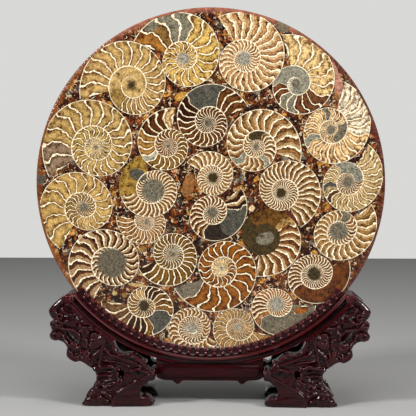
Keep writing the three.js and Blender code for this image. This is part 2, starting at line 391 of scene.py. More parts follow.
# ---------------------------------------------------------------- shader helpers
class Graph:
    """Short ways to add and join shader nodes in one tree."""

    def __init__(self, tree: Tree) -> None:
        """Work in one node tree."""
        self.tree = tree

    def node(self, kind: str, **settings: object) -> Node:
        """Add a node.

        Args:
            kind: Name of the node, without its ShaderNode prefix.
            **settings: The node's own settings.

        Returns:
            The node.
        """
        node = self.tree.nodes.new("ShaderNode" + kind)
        for key, value in settings.items():
            setattr(node, key, value)
        return node

    def feed(self, node: Node, *values: object, **by_name: object) -> Node:
        """Link sockets to a node's inputs, or set the inputs to constants.

        Args:
            node: The node.
            *values: Sockets, numbers, vectors or colours for its first inputs; None skips one.
            **by_name: The same for inputs by name, with _ for a space.

        Returns:
            The node.
        """
        pairs = [(socket, value) for socket, value in zip(node.inputs, values) if value is not None]
        pairs += [(node.inputs[key.replace("_", " ")], value) for key, value in by_name.items()]
        for socket, value in pairs:
            if isinstance(value, Socket):
                self.tree.links.new(value, socket)
            else:
                socket.default_value = value
        return node

    def math(self, way: str, *values: object) -> Socket:
        """Join numbers with a Math node, by its operation."""
        return self.feed(self.node("Math", operation=way), *values).outputs[0]

    def times(self, a: object, b: object) -> Socket:
        """Multiply two numbers."""
        return self.math("MULTIPLY", a, b)

    def minus(self, a: object, b: object) -> Socket:
        """Take the second number from the first."""
        return self.math("SUBTRACT", a, b)

    def line(self, value: object, slope: object, start: object) -> Socket:
        """Multiply a number by a slope and add a start."""
        return self.math("MULTIPLY_ADD", value, slope, start)

    def vector(self, way: str, *values: object) -> Socket:
        """Join vectors with a Vector Math node; LENGTH and DISTANCE give a number."""
        node = self.feed(self.node("VectorMath", operation=way), *values)
        return node.outputs["Value" if way in {"LENGTH", "DISTANCE"} else "Vector"]

    def scaled(self, source: object, share: object) -> Socket:
        """Multiply a vector by a number."""
        node = self.node("VectorMath", operation="SCALE")
        return self.feed(node, source, Scale=share).outputs["Vector"]

    def parts(self, kind: str, source: object) -> list[Socket]:
        """Split an XYZ vector, or a Color, into its three numbers."""
        return list(self.feed(self.node("Separate" + kind), source).outputs)

    def mix(self, share: object, a: object, b: object, way: str = "MIX") -> Socket:
        """Mix two colours, with a share of the second one."""
        node = self.node("Mix", data_type="RGBA", blend_type=way)
        return self.feed(node, share, *[None] * 5, a, b).outputs[2]

    def tinted(self, colour: object, tint: object) -> Socket:
        """Multiply two colours."""
        return self.mix(1.0, colour, tint, "MULTIPLY")

    def ramp(self, value: object, low: object, high: object) -> Socket:
        """Rise smoothly from 0 to 1 as a value goes from low to high, which may be lower."""
        node = self.node("MapRange", interpolation_type="SMOOTHSTEP")
        return self.feed(node, value, low, high).outputs["Result"]

    def noise(self, place: object, scale: float, detail: float = 2.0, twist: float = 0.0,
              output: str = "Fac") -> Socket:
        """Soft cloudy pattern between 0 and 1.

        Args:
            place: Where it is read.
            scale: Its fineness.
            detail: How many finer layers it has.
            twist: How far it is distorted.
            output: Fac or Color.

        Returns:
            The pattern.
        """
        node = self.node("TexNoise")
        self.feed(node, place, Scale=scale, Detail=detail, Distortion=twist)
        return node.outputs[output]

    def cloud(self, place: object, scale: float, low: float, high: float,
              detail: float) -> Socket:
        """Cloudy mask: a noise that rises to 1 between two of its values."""
        return self.ramp(self.noise(place, scale, detail), low, high)

    def shift(self, place: object, scale: float, reach: float) -> Socket:
        """Push a place about by a noise of some fineness, so that edges read there wander."""
        push = self.vector("SUBTRACT", self.noise(place, scale, output="Color"), (0.5, 0.5, 0.5))
        return self.vector("ADD", place, self.scaled(push, 2 * reach))

    def cells(self, place: object, scale: float, feature: str, output: str) -> Socket:
        """Cell pattern: each cell's colour, or the distance to its edge."""
        node = self.node("TexVoronoi", feature=feature)
        return self.feed(node, place, Scale=scale).outputs[output]

    def place(self) -> Socket:
        """Object coordinates in millimetres."""
        return self.scaled(self.node("TexCoord").outputs["Object"], 1 / MM)

    def attribute(self, name: str, output: str = "Vector") -> Socket:
        """An attribute of the mesh."""
        return self.node("Attribute", attribute_name=name).outputs[output]

    def group(self, tree: Tree, **values: object) -> dict[str, Socket]:
        """Place a node group, give it its inputs by name, and hand back its outputs."""
        node = self.feed(self.node("Group", node_tree=tree), **values)
        return {socket.name: socket for socket in node.outputs}


def new_group(name: str, inputs: dict[str, str], outputs: dict[str, str]
              ) -> tuple[Graph, dict[str, Socket], Node]:
    """Start a shader node group.

    Args:
        name: The group's name.
        inputs: Socket types of its inputs by name.
        outputs: Socket types of its outputs by name.

    Returns:
        Its graph, its inputs by name, and the node that takes its outputs.
    """
    tree = bpy.data.node_groups.new(name, "ShaderNodeTree")
    for way, sockets in (("INPUT", inputs), ("OUTPUT", outputs)):
        for key, kind in sockets.items():
            tree.interface.new_socket(name=key, in_out=way, socket_type="NodeSocket" + kind)
    start = tree.nodes.new("NodeGroupInput")
    end = tree.nodes.new("NodeGroupOutput")
    return Graph(tree), {socket.name: socket for socket in start.outputs}, end


def new_material(name: str) -> tuple[bpy.types.Material, Graph, Node]:
    """Start a material.

    Args:
        name: The material's name.

    Returns:
        The material, its graph and its Principled BSDF.
    """
    material = bpy.data.materials.new(name)
    material.use_nodes = True
    return material, Graph(material.node_tree), material.node_tree.nodes["Principled BSDF"]


# ---------------------------------------------------------------- shared effects
@dataclass(frozen=True)
class SeptaEffect:
    """Thin walls between a shell's chambers, and the wall of the shell itself.

    Lengths are for a chamber of the usual arc, or a whorl of the usual width.
    """

    bend: Loop = ((0.0, 0.12), (0.12, 0.32), (0.3, 0.5), (0.5, 0.6), (0.66, 0.52), (0.8, 0.3),
                  (0.9, 0.26), (1.0, 0.46))
    tighter_inwards: float = 0.016
    usual_arc: float = 8.0
    usual_width: float = 16.0
    line_power: float = 0.7
    halo_power: float = 1.1
    drift_scale: float = 0.25
    bump_scale: float = 0.5
    bumps: Point2 = (0.5, 0.6)
    line_edge: float = 0.3
    least_line: float = 0.01
    least_ringed: float = 0.004
    soft_from: Point2 = (0.3, 0.7)
    halo_spread: Point2 = (2.0, 1.45)
    halo_full: float = 0.45
    shade_reach: float = 1.7
    shade_full: float = 0.95
    close_reach: float = 1.5
    close_share: float = 0.5
    walled_from: Point2 = (2.5, 5.5)
    inner_wall: float = 0.35
    wall: Point2 = (1.05, 0.75)
    dark_edge: Point2 = (0.5, 0.3)
    rim_from: float = 0.68
    rim_dark: float = -0.45
    inner_dark: float = -0.25
    plain_depth: float = 0.7

    def bent(self, graph: Graph, across: Socket) -> Socket:
        """Read how far a septum leans forward at a place across the whorl.

        Args:
            graph: Where the node goes.
            across: The place, from 0 at the inner wall to 1 at the outer one.

        Returns:
            How far it leans, as a share of a chamber.
        """
        node = graph.node("FloatCurve")
        points = node.mapping.curves[0].points
        points[0].location, points[1].location = self.bend[0], self.bend[-1]
        for point in self.bend[1:-1]:
            points.new(*point)
        node.mapping.update()
        return graph.minus(graph.feed(node, Value=across).outputs[0], 0.5)

    def build(self) -> Tree:
        """Build the effect as a node group.

        Returns:
            A group that reads the coil attributes and puts out masks.
        """
        graph, given, end = new_group(
            "septa",
            {"Coil": "Vector", "Gauge": "Vector", "Place": "Vector", "Bend": "Float",
             "Wander": "Float", "Turn": "Float"},
            dict.fromkeys(("Septum", "Halo", "Shade", "Wall", "Edge", "Chamber", "Depth"), "Float"),
        )
        times, minus, line_up, ramp = graph.times, graph.minus, graph.line, graph.ramp
        place = given["Place"]
        chamber, across, width = graph.parts("XYZ", given["Coil"])
        arc, line, soft = graph.parts("XYZ", given["Gauge"])
        inner = graph.math("GREATER_THAN", chamber, given["Turn"])
        shown = graph.math("GREATER_THAN", line, self.least_line)

        # Septa bend and wander, so a chamber's number is read a little to one side.
        bend = times(times(self.bent(graph, across), given["Bend"]),
                     line_up(chamber, self.tighter_inwards, 1.0))
        drift = times(minus(graph.noise(place, self.drift_scale, 3.0), 0.5), given["Wander"])
        along = graph.math("ADD", minus(chamber, bend), drift)
        near = graph.math("PINGPONG", along, 0.5)
        away = times(near, arc)

        # The septum is finer in smaller chambers, and uneven.
        share = graph.math("DIVIDE", arc, self.usual_arc)
        size = graph.math("POWER", share, self.line_power)
        bumps = minus(graph.noise(place, self.bump_scale), 0.5)
        uneven = line_up(bumps, line_up(soft, *self.bumps), 1.0)
        half = times(times(line, size), uneven)
        edge = line_up(size, self.line_edge, half)
        septum = times(ramp(away, edge, half), shown)

        # A pale halo leans off one side of a thick septum, with a dark band beyond it.
        tight = times(soft, graph.math("POWER", share, self.halo_power))
        blur = graph.math("MINIMUM", times(soft, size), tight)
        side = line_up(minus(graph.math("FRACT", graph.math("ADD", along, 0.5)), 0.5), arc, half)
        lean = graph.math("ABSOLUTE", minus(side, blur))
        spread = times(blur, line_up(bumps, *self.halo_spread))
        halo = ramp(lean, spread, times(spread, self.halo_full))
        far = line_up(size, self.shade_reach, spread)
        shade = times(ramp(lean, far, times(spread, self.shade_full)), minus(1.0, halo))
        blurred = ramp(soft, *self.soft_from)
        close = ramp(away, line_up(size, self.close_reach, edge), edge)
        shade = graph.math("MAXIMUM", times(shade, blurred), times(close, self.close_share))

        # The shell's wall has a dark outline where it meets the matrix.
        beside = times(minus(1.0, across), width)
        thick = graph.math("SQRT", graph.math("DIVIDE", width, self.usual_width))
        walled = times(ramp(width, *self.walled_from),
                       graph.math("GREATER_THAN", line, self.least_ringed))
        broad = times(thick, line_up(inner, self.inner_wall, 1.0))
        wall = ramp(beside, *(times(broad, reach) for reach in self.wall))
        dark = ramp(beside, *(times(thick, reach) for reach in self.dark_edge))
        dark = times(dark, minus(1.0, inner))

        deep = line_up(ramp(across, self.rim_from, 1.0), self.rim_dark, times(near, 2.0))
        deep = minus(line_up(inner, self.inner_dark, deep), self.plain_depth)
        graph.feed(end, septum, times(times(halo, blurred), shown), times(shade, shown),
                   times(wall, walled), times(dark, walled), graph.math("FLOOR", along),
                   line_up(deep, shown, self.plain_depth))
        return graph.tree


@dataclass(frozen=True)
class MineralEffect:
    """Cloudy, crystalline filling: clear calcite, or dull sediment."""

    cloud_scale: float = 0.26
    grain_scale: float = 0.85
    cloud: float = 2.2
    grain: float = 2.4
    depth: Point3 = (0.9, 0.66, 0.06)
    dark_to: Point2 = (-0.2, 0.5)
    light_to: Point2 = (0.5, 1.2)
    light: Colour = (1.75, 1.85, 2.0, 1)
    dark: Colour = (0.26, 0.14, 0.06, 1)
    grit: Point2 = (3.2, 0.85)
    grit_cloud: float = 1.2
    least_grit: float = 0.2
    fleck: Cloud = (1.6, 0.62, 0.7, 1.0)
    fleck_share: float = 0.8

    def build(self) -> Tree:
        """Build the effect as a node group.

        Returns:
            A group that turns one colour into a filled chamber.
        """
        graph, given, end = new_group(
            "mineral",
            {"Place": "Vector", "Fill": "Color", "Clear": "Float", "Depth": "Float",
             "Mottle": "Float"},
            {"Color": "Color"},
        )
        place, fill = given["Place"], given["Fill"]
        cloud = graph.minus(graph.noise(place, self.cloud_scale, 3.0), 0.5)
        grain = graph.minus(graph.noise(place, self.grain_scale, 3.0, 0.6), 0.5)
        mottle = graph.line(cloud, self.cloud, graph.times(grain, self.grain))
        deepest, share, start = self.depth
        tone = graph.line(graph.ramp(given["Depth"], 0.0, deepest), share, start)
        tone = graph.line(mottle, given["Mottle"], tone)
        calcite = graph.mix(graph.ramp(tone, *self.dark_to), graph.tinted(fill, self.dark), fill)
        calcite = graph.mix(graph.ramp(tone, *self.light_to), calcite,
                            graph.tinted(fill, self.light))
        grit = graph.line(cloud, self.grit_cloud, graph.line(grain, *self.grit))
        grit = graph.line(graph.cloud(place, *self.fleck), self.fleck_share,
                          graph.math("MAXIMUM", grit, self.least_grit))
        graph.feed(end, graph.mix(given["Clear"], graph.scaled(fill, grit), calcite))
        return graph.tree


# ---------------------------------------------------------------- the shells
class Fill(Enum):
    """What fills a chamber: its colour, and how clear it is."""

    TAN = (0.4, 0.235, 0.07, 1.0)
    GOLD = (0.42, 0.26, 0.065, 1.0)
    YELLOW = (0.43, 0.27, 0.088, 0.9)
    BEIGE = (0.48, 0.32, 0.13, 0.9)
    AMBER = (0.25, 0.1, 0.016, 1.0)
    ORANGE = (0.27, 0.095, 0.012, 1.0)
    BROWN = (0.24, 0.1, 0.028, 1.0)
    PINK_BROWN = (0.33, 0.155, 0.05, 1.0)
    DARK_BROWN = (0.06, 0.018, 0.005, 1.0)
    RED_BROWN = (0.09, 0.03, 0.009, 1.0)
    MAUVE = (0.26, 0.16, 0.09, 0.9)
    OLIVE = (0.26, 0.15, 0.035, 1.0)
    UMBER = (0.16, 0.08, 0.02, 1.0)
    SILT = (0.215, 0.2, 0.145, 0.0)
    OCHRE = (0.5, 0.26, 0.045, 0.0)
    WINE = (0.1, 0.018, 0.012, 0.0)
    # The pink below fills no chamber: it colours a painted reflection on the matrix.
    PINK_SHEEN = (0.42, 0.19, 0.13, 0.0)
    CREAM = (0.7, 0.53, 0.3, 0.9)
    GREY = (0.17, 0.148, 0.1, 0.1)
    MUD = (0.14, 0.115, 0.075, 0.0)
    PALE_GREY = (0.34, 0.31, 0.24, 0.1)
    ROSE = (0.37, 0.235, 0.125, 0.9)
    SLATE = (0.072, 0.066, 0.05, 0.0)
    DARK_OLIVE = (0.048, 0.03, 0.009, 0.0)
    BLACK = (0.025, 0.016, 0.011, 0.0)


@dataclass(frozen=True)
class Stretch:
    """How the septa stand from one angle back on: pitch, half width and soft edge."""

    start: float
    pitch: float
    line: float = 0.5
    soft: float = 0.35


@dataclass(frozen=True)
class Patch:
    """Chambers that are filled alike, between two angles back from the mouth."""

    start: float
    end: float
    fill: Fill


@dataclass(frozen=True)
class Spot:
    """Oval area of another filling, placed in x and z, with its turn in degrees."""

    x: float
    z: float
    half_length: float
    half_width: float
    turn: float
    fill: Fill
    rim: Point2 = (1.06, 0.94)

    def inside(self, graph: Graph, place: Socket, x: float, z: float) -> Socket:
        """Mask of the oval.

        Args:
            graph: Where the nodes go.
            place: Place in millimetres.
            x: Where the oval's own place is counted from, across.
            z: The same, up.

        Returns:
            A mask, 1 inside.
        """
        node = graph.node("Mapping", vector_type="TEXTURE")
        graph.feed(node, place, (x + self.x, FACE_Y, z + self.z),
                   (0, -math.radians(self.turn), 0), (self.half_length, 50.0, self.half_width))
        return graph.ramp(graph.vector("LENGTH", node.outputs[0]), *self.rim)


@dataclass(frozen=True)
class Core:
    """The filled middle of a coil."""

    radius: float
    fill: Fill
    soft: float = 1.0
    rim: Point2 = (0.8, -1.4)


@dataclass(frozen=True)
class Polish:
    """Gloss that the shells and the matrix share."""

    shine: float = 0.25
    coat: float = 0.2
    coat_roughness: float = 0.08

    def lay(self, graph: Graph, shader: Node, colour: Socket, rough: Socket) -> None:
        """Join a colour and a roughness to a shader, and give it the gloss."""
        graph.feed(shader, Base_Color=colour, Roughness=rough, Specular_IOR_Level=self.shine,
                   Coat_Weight=self.coat, Coat_Roughness=self.coat_roughness)


@dataclass(frozen=True)
class ShellFinish:
    """What one sawn and polished shell shows."""

    outer: Fill
    core: Core
    stretches: tuple[Stretch, ...]
    patches: tuple[Patch, ...] = ()
    spots: tuple[Spot, ...] = ()
    inner: Fill | None = None
    bend: float = 1.0
    wander: float = 0.5
    tone: Colour = (1.0, 1.0, 1.0, 1.0)
    mottle: float = 1.0
    shade: float = 0.8
    shade_tint: Colour = (0.34, 0.2, 0.1, 1.0)
    halo: float = 0.85
    halo_tone: Point3 = (0.45, 0.55, 1.1)
    halo_dark: Colour = (0.3, 0.14, 0.055, 1.0)
    halo_light: Colour = (0.78, 0.57, 0.31, 1.0)
    wall: float = 0.8
    line_dark: Colour = (0.52, 0.35, 0.17, 1.0)
    line_light: Colour = (1.0, 0.9, 0.66, 1.0)
    edge_colour: Colour = (0.06, 0.022, 0.008, 1.0)
    dull_below: Point2 = (0.02, 0.08)
    shaded_above: Point2 = (0.1, 0.7)
    ramp_chambers: int = 96
    ripple: Point2 = (0.35, 1.2)
    halo_cloud: Cloud = (0.9, 0.35, 0.62, 2.0)
    line_cloud: Cloud = (0.7, 0.3, 0.6, 2.0)
    core_ripple: Point2 = (0.45, 2.2)
    dust_size: float = 1.7
    dust_mottle: float = 2.0
    dust_tone: float = 0.78
    haze: float = 0.7
    roughness: Point2 = (0.12, 0.14)

    def chamber(self, back: float) -> float:
        """How many septa lie between the mouth and an angle back.

        Args:
            back: Degrees back from the mouth.

        Returns:
            The number, with its fraction.
        """
        count = 0.0
        for stretch, after in zip(self.stretches, (*self.stretches[1:], None)):
            end = back if after is None else min(back, after.start)
            count += max(0.0, end - stretch.start) / stretch.pitch
        return count

    def stretch(self, back: float) -> Stretch:
        """The stretch that an angle back lies in."""
        return [item for item in self.stretches if item.start <= back][-1]

    def fills(self) -> list[Fill]:
        """Lay out the filling of each chamber.

        Returns:
            The fillings, from the mouth inwards.
        """
        turn = round(self.chamber(360))
        inner = self.inner or self.outer
        row = [self.outer if i < turn else inner for i in range(self.ramp_chambers)]
        for patch in self.patches:
            first, last = round(self.chamber(patch.start)), round(self.chamber(patch.end))
            for i in range(first, min(max(last, first + 1), self.ramp_chambers)):
                row[i] = patch.fill
        return row

    def fill_ramp(self, graph: Graph, chamber: Socket) -> Node:
        """Stepped colour ramp that gives each chamber its filling.

        Args:
            graph: Where the node goes.
            chamber: Number of the chamber.

        Returns:
            The ramp; its alpha says how clear the filling is.
        """
        node = graph.node("ValToRGB")
        ramp = node.color_ramp
        ramp.interpolation = "CONSTANT"
        ramp.elements.remove(ramp.elements[1])
        fills = self.fills()
        ramp.elements[0].position = 0.0
        ramp.elements[0].color = fills[0].value
        for i in range(1, self.ramp_chambers):
            if fills[i] is not fills[i - 1]:
                ramp.elements.new((i - 0.5) / self.ramp_chambers).color = fills[i].value
        return graph.feed(node, graph.math("DIVIDE", chamber, self.ramp_chambers))

    def material(self, name: str, x: float, z: float, septa: Tree, mineral: Tree
                 ) -> bpy.types.Material:
        """Build the finish for a shell.

        Args:
            name: The material's name.
            x: The coil's centre, across.
            z: The coil's centre, up.
            septa: The shared septa effect.
            mineral: The shared mineral effect.

        Returns:
            The material.
        """
        material, graph, shader = new_material(name)
        times, ramp, mix = graph.times, graph.ramp, graph.mix
        place = graph.place()
        lines = graph.group(septa, Coil=graph.attribute("coil"), Gauge=graph.attribute("gauge"),
                            Place=place, Bend=self.bend, Wander=self.wander,
                            Turn=self.chamber(360))
        colour, clear = self.fill_ramp(graph, lines["Chamber"]).outputs
        wavy = graph.shift(place, *self.ripple)
        for spot in self.spots:
            inside = spot.inside(graph, wavy, x, z)
            colour = mix(inside, colour, spot.fill.value)
            clear = graph.line(inside, graph.minus(spot.fill.value[3], clear), clear)
        filled = graph.group(mineral, Place=place, Fill=colour, Clear=clear,
                             Depth=lines["Depth"], Mottle=self.mottle)["Color"]
        filled = mix(clear, filled, graph.tinted(filled, self.tone))

        shade = times(lines["Shade"], ramp(clear, *self.shaded_above))
        filled = mix(times(shade, self.shade), filled, graph.tinted(filled, self.shade_tint))
        lined = ramp(clear, *self.dull_below)
        least, share, most = self.halo_tone
        halo = mix(graph.cloud(place, *self.halo_cloud), self.halo_dark, self.halo_light)
        halo = graph.tinted(halo, [least + share * min(part, most) for part in self.tone])
        shown = mix(times(times(lines["Halo"], lined), self.halo), filled, halo)
        line = mix(graph.cloud(place, *self.line_cloud), self.line_dark, self.line_light)
        shown = mix(times(lines["Septum"], lined), shown, line)
        shown = mix(times(lines["Wall"], self.wall), shown, line)
        shown = mix(lines["Edge"], shown, self.edge_colour)

        core = self.core
        middle = graph.vector("DISTANCE", graph.shift(place, *self.core_ripple), (x, FACE_Y, z))
        heart = ramp(middle, *(core.radius + step * core.soft for step in core.rim))
        dust = graph.group(mineral, Place=graph.scaled(place, self.dust_size),
                           Fill=core.fill.value, Clear=0.5, Depth=0.5,
                           Mottle=self.dust_mottle)["Color"]
        shown = mix(heart, shown, graph.scaled(dust, self.dust_tone))
        rough = graph.line(graph.noise(place, self.haze), *self.roughness)
        Polish().lay(graph, shader, shown, rough)
        return material


@dataclass(frozen=True)
class Coil:
    """Where a shell's spiral lies on the slab's face, and how it widens."""

    x: float
    z: float
    mouth: float
    turn: int
    radii: tuple[float, ...]

    def centre(self) -> Point2:
        """The coil's middle in x and z."""
        return self.x, SLAB_CENTRE_Z + self.z

    def radius(self, back: float) -> float:
        """The coil's radius at an angle back from its mouth.

        Args:
            back: Degrees back from the mouth.

        Returns:
            The radius, smooth through the coil's quarter turns.
        """
        growth = math.log(self.radii[0] / self.radii[4])

        def quarter(i: int) -> float:
            """Logarithm of the radius at a quarter turn."""
            return math.log(self.radii[i % 4]) - growth * (i // 4)

        i = math.floor(back / 90)
        t = back / 90 - i
        a, b, c, d = (quarter(i + k) for k in (-1, 0, 1, 2))
        bend = (2 * a - 5 * b + 4 * c - d) * t + (3 * b - a - 3 * c + d) * t * t
        return math.exp(b + 0.5 * t * (c - a + bend))

    def point(self, back: float, radius: float) -> Point2:
        """A point on the face, in x and z.

        Args:
            back: Degrees back from the mouth.
            radius: Distance from the coil's centre.

        Returns:
            The point.
        """
        x, z = self.centre()
        angle = math.radians(self.mouth - self.turn * back)
        return x + radius * math.cos(angle), z + radius * math.sin(angle)

    def outline(self, step: float) -> list[Point2]:
        """The shell's outline.

        Args:
            step: Degrees from one corner to the next.

        Returns:
            Its corners, anticlockwise.
        """
        backs = np.arange(0, 360 + step / 2, step)
        points = [self.point(back, self.radius(back)) for back in backs]
        return points[::-1] if self.turn > 0 else points

    def reach(self) -> float:
        """How far the shell's outline comes from the slab's centre."""
        return max(math.hypot(x, z - SLAB_CENTRE_Z) for x, z in self.outline(10))

    def near(self, other: "Coil") -> bool:
        """Whether two coils come near enough to touch."""
        apart = math.hypot(self.x - other.x, self.z - other.z)
        return apart < max(self.radii) + max(other.radii)


@dataclass
class Ammonite:
    """One halved shell, let into the slab with its sawn face flush."""

    label: str
    tone: str
    coil: Coil
    finish: ShellFinish
    depth: float = 8.0
    narrowing: float = 0.035
    step: float = 5.0
    strips: int = 8
    turns: int = 4
    gauged_at: float = 0.6

    @property
    def node(self) -> str:
        """The shell's node in the frame."""
        return f"ammonite_{self.label}"

    def cutter(self) -> Piece:
        """The room that the shell takes in the matrix, with its clearance.

        Returns:
            A helper prism.
        """
        depth = self.depth + GAP
        return prism(f"pocket_{self.node}", grown(self.coil.outline(self.step), GAP),
                     FACE_Y - 0.5, FACE_Y + depth, 1 - self.narrowing * depth,
                     self.coil.centre())

    def corner(self, back: float, across: float) -> tuple[float, ...]:
        """Work out one corner of the rolled-up grid.

        Args:
            back: Degrees back from the mouth.
            across: Place across the whorl, 0 at its inner wall.

        Returns:
            Its x and z, then the coil attribute, then the gauge attribute.
        """
        last = 360 * (self.turns - 1)
        inner = self.coil.radius(back + 360) if back <= last else 0.0
        width = self.coil.radius(back) - inner
        stretch = self.finish.stretch(back)
        arc = math.radians(stretch.pitch) * (inner + width * self.gauged_at)
        return (*self.coil.point(back, inner + width * across), self.finish.chamber(back),
                across, width, arc, stretch.line, stretch.soft)

    def face(self) -> Piece:
        """Roll a grid up into the coil: one long strip from the mouth to the middle.

        Returns:
            The flat face, with the coil's attributes on its corners.
        """
        around = round(360 * self.turns / self.step)
        piece = primitive("grid", self.node, x_subdivisions=around, y_subdivisions=self.strips,
                          size=2)
        mesh = piece.data
        flat = np.zeros(len(mesh.vertices) * 3)
        mesh.vertices.foreach_get("co", flat)
        flat = flat.reshape(-1, 3)
        backs = np.round((flat[:, 0] + 1) / 2 * around) * self.step
        rows = np.array([self.corner(*pair) for pair in zip(backs, (flat[:, 1] + 1) / 2)])
        places = np.stack([rows[:, 0] * MM, np.full(len(rows), FACE_Y * MM), rows[:, 1] * MM], 1)
        mesh.vertices.foreach_set("co", places.ravel())
        corners = np.zeros(len(mesh.loops), int)
        mesh.loops.foreach_get("vertex_index", corners)
        for name, columns in (("coil", rows[:, 2:5]), ("gauge", rows[:, 5:8])):
            attribute = mesh.attributes.new(name, "FLOAT_VECTOR", "CORNER")
            attribute.data.foreach_set("vector", columns[corners].ravel())
        mesh.update()
        return piece

    def body(self) -> Piece:
        """Give the face its depth.

        Returns:
            The closed shell.
        """
        piece = self.face()
        edit(piece)
        bpy.ops.mesh.remove_doubles(threshold=0.002 * MM)
        bpy.ops.mesh.select_all(action="SELECT")
        bpy.ops.mesh.region_to_loop()
        x, z = self.coil.centre()
        push_back(self.depth, 1 - self.narrowing * self.depth,
                  (x * MM, (FACE_Y + self.depth) * MM, z * MM))
        bpy.ops.mesh.edge_face_add()
        face_outwards()
        return piece

    def build(self, taken: Sequence["Ammonite"], tools: dict[str, Piece], bound: Piece) -> Piece:
        """Make the shell, clear of the slab's rim and of the shells before it.

        Args:
            taken: The shells that are in place already.
            tools: The helper prisms by node.
            bound: The disc that no shell leaves.

        Returns:
            The finished mesh.
        """
        piece = self.body()
        if self.coil.reach() > SHELL_REACH:
            cut(piece, bound, "INTERSECT")
        for other in taken:
            if self.coil.near(other.coil):
                cut(piece, tools[other.node])
        piece.name = self.node + "_sawn"
        return piece


THIN, FINE, MEDIUM, THICK, BROAD = (0.4, 0.25), (0.28, 0.2), (0.42, 0.9), (0.5, 1.8), (0.5, 2.4)


def septa(pitch: float, width: Point2) -> tuple[Stretch, ...]:
    """Septa that stand alike all the way in."""
    return (Stretch(0, pitch, *width),)


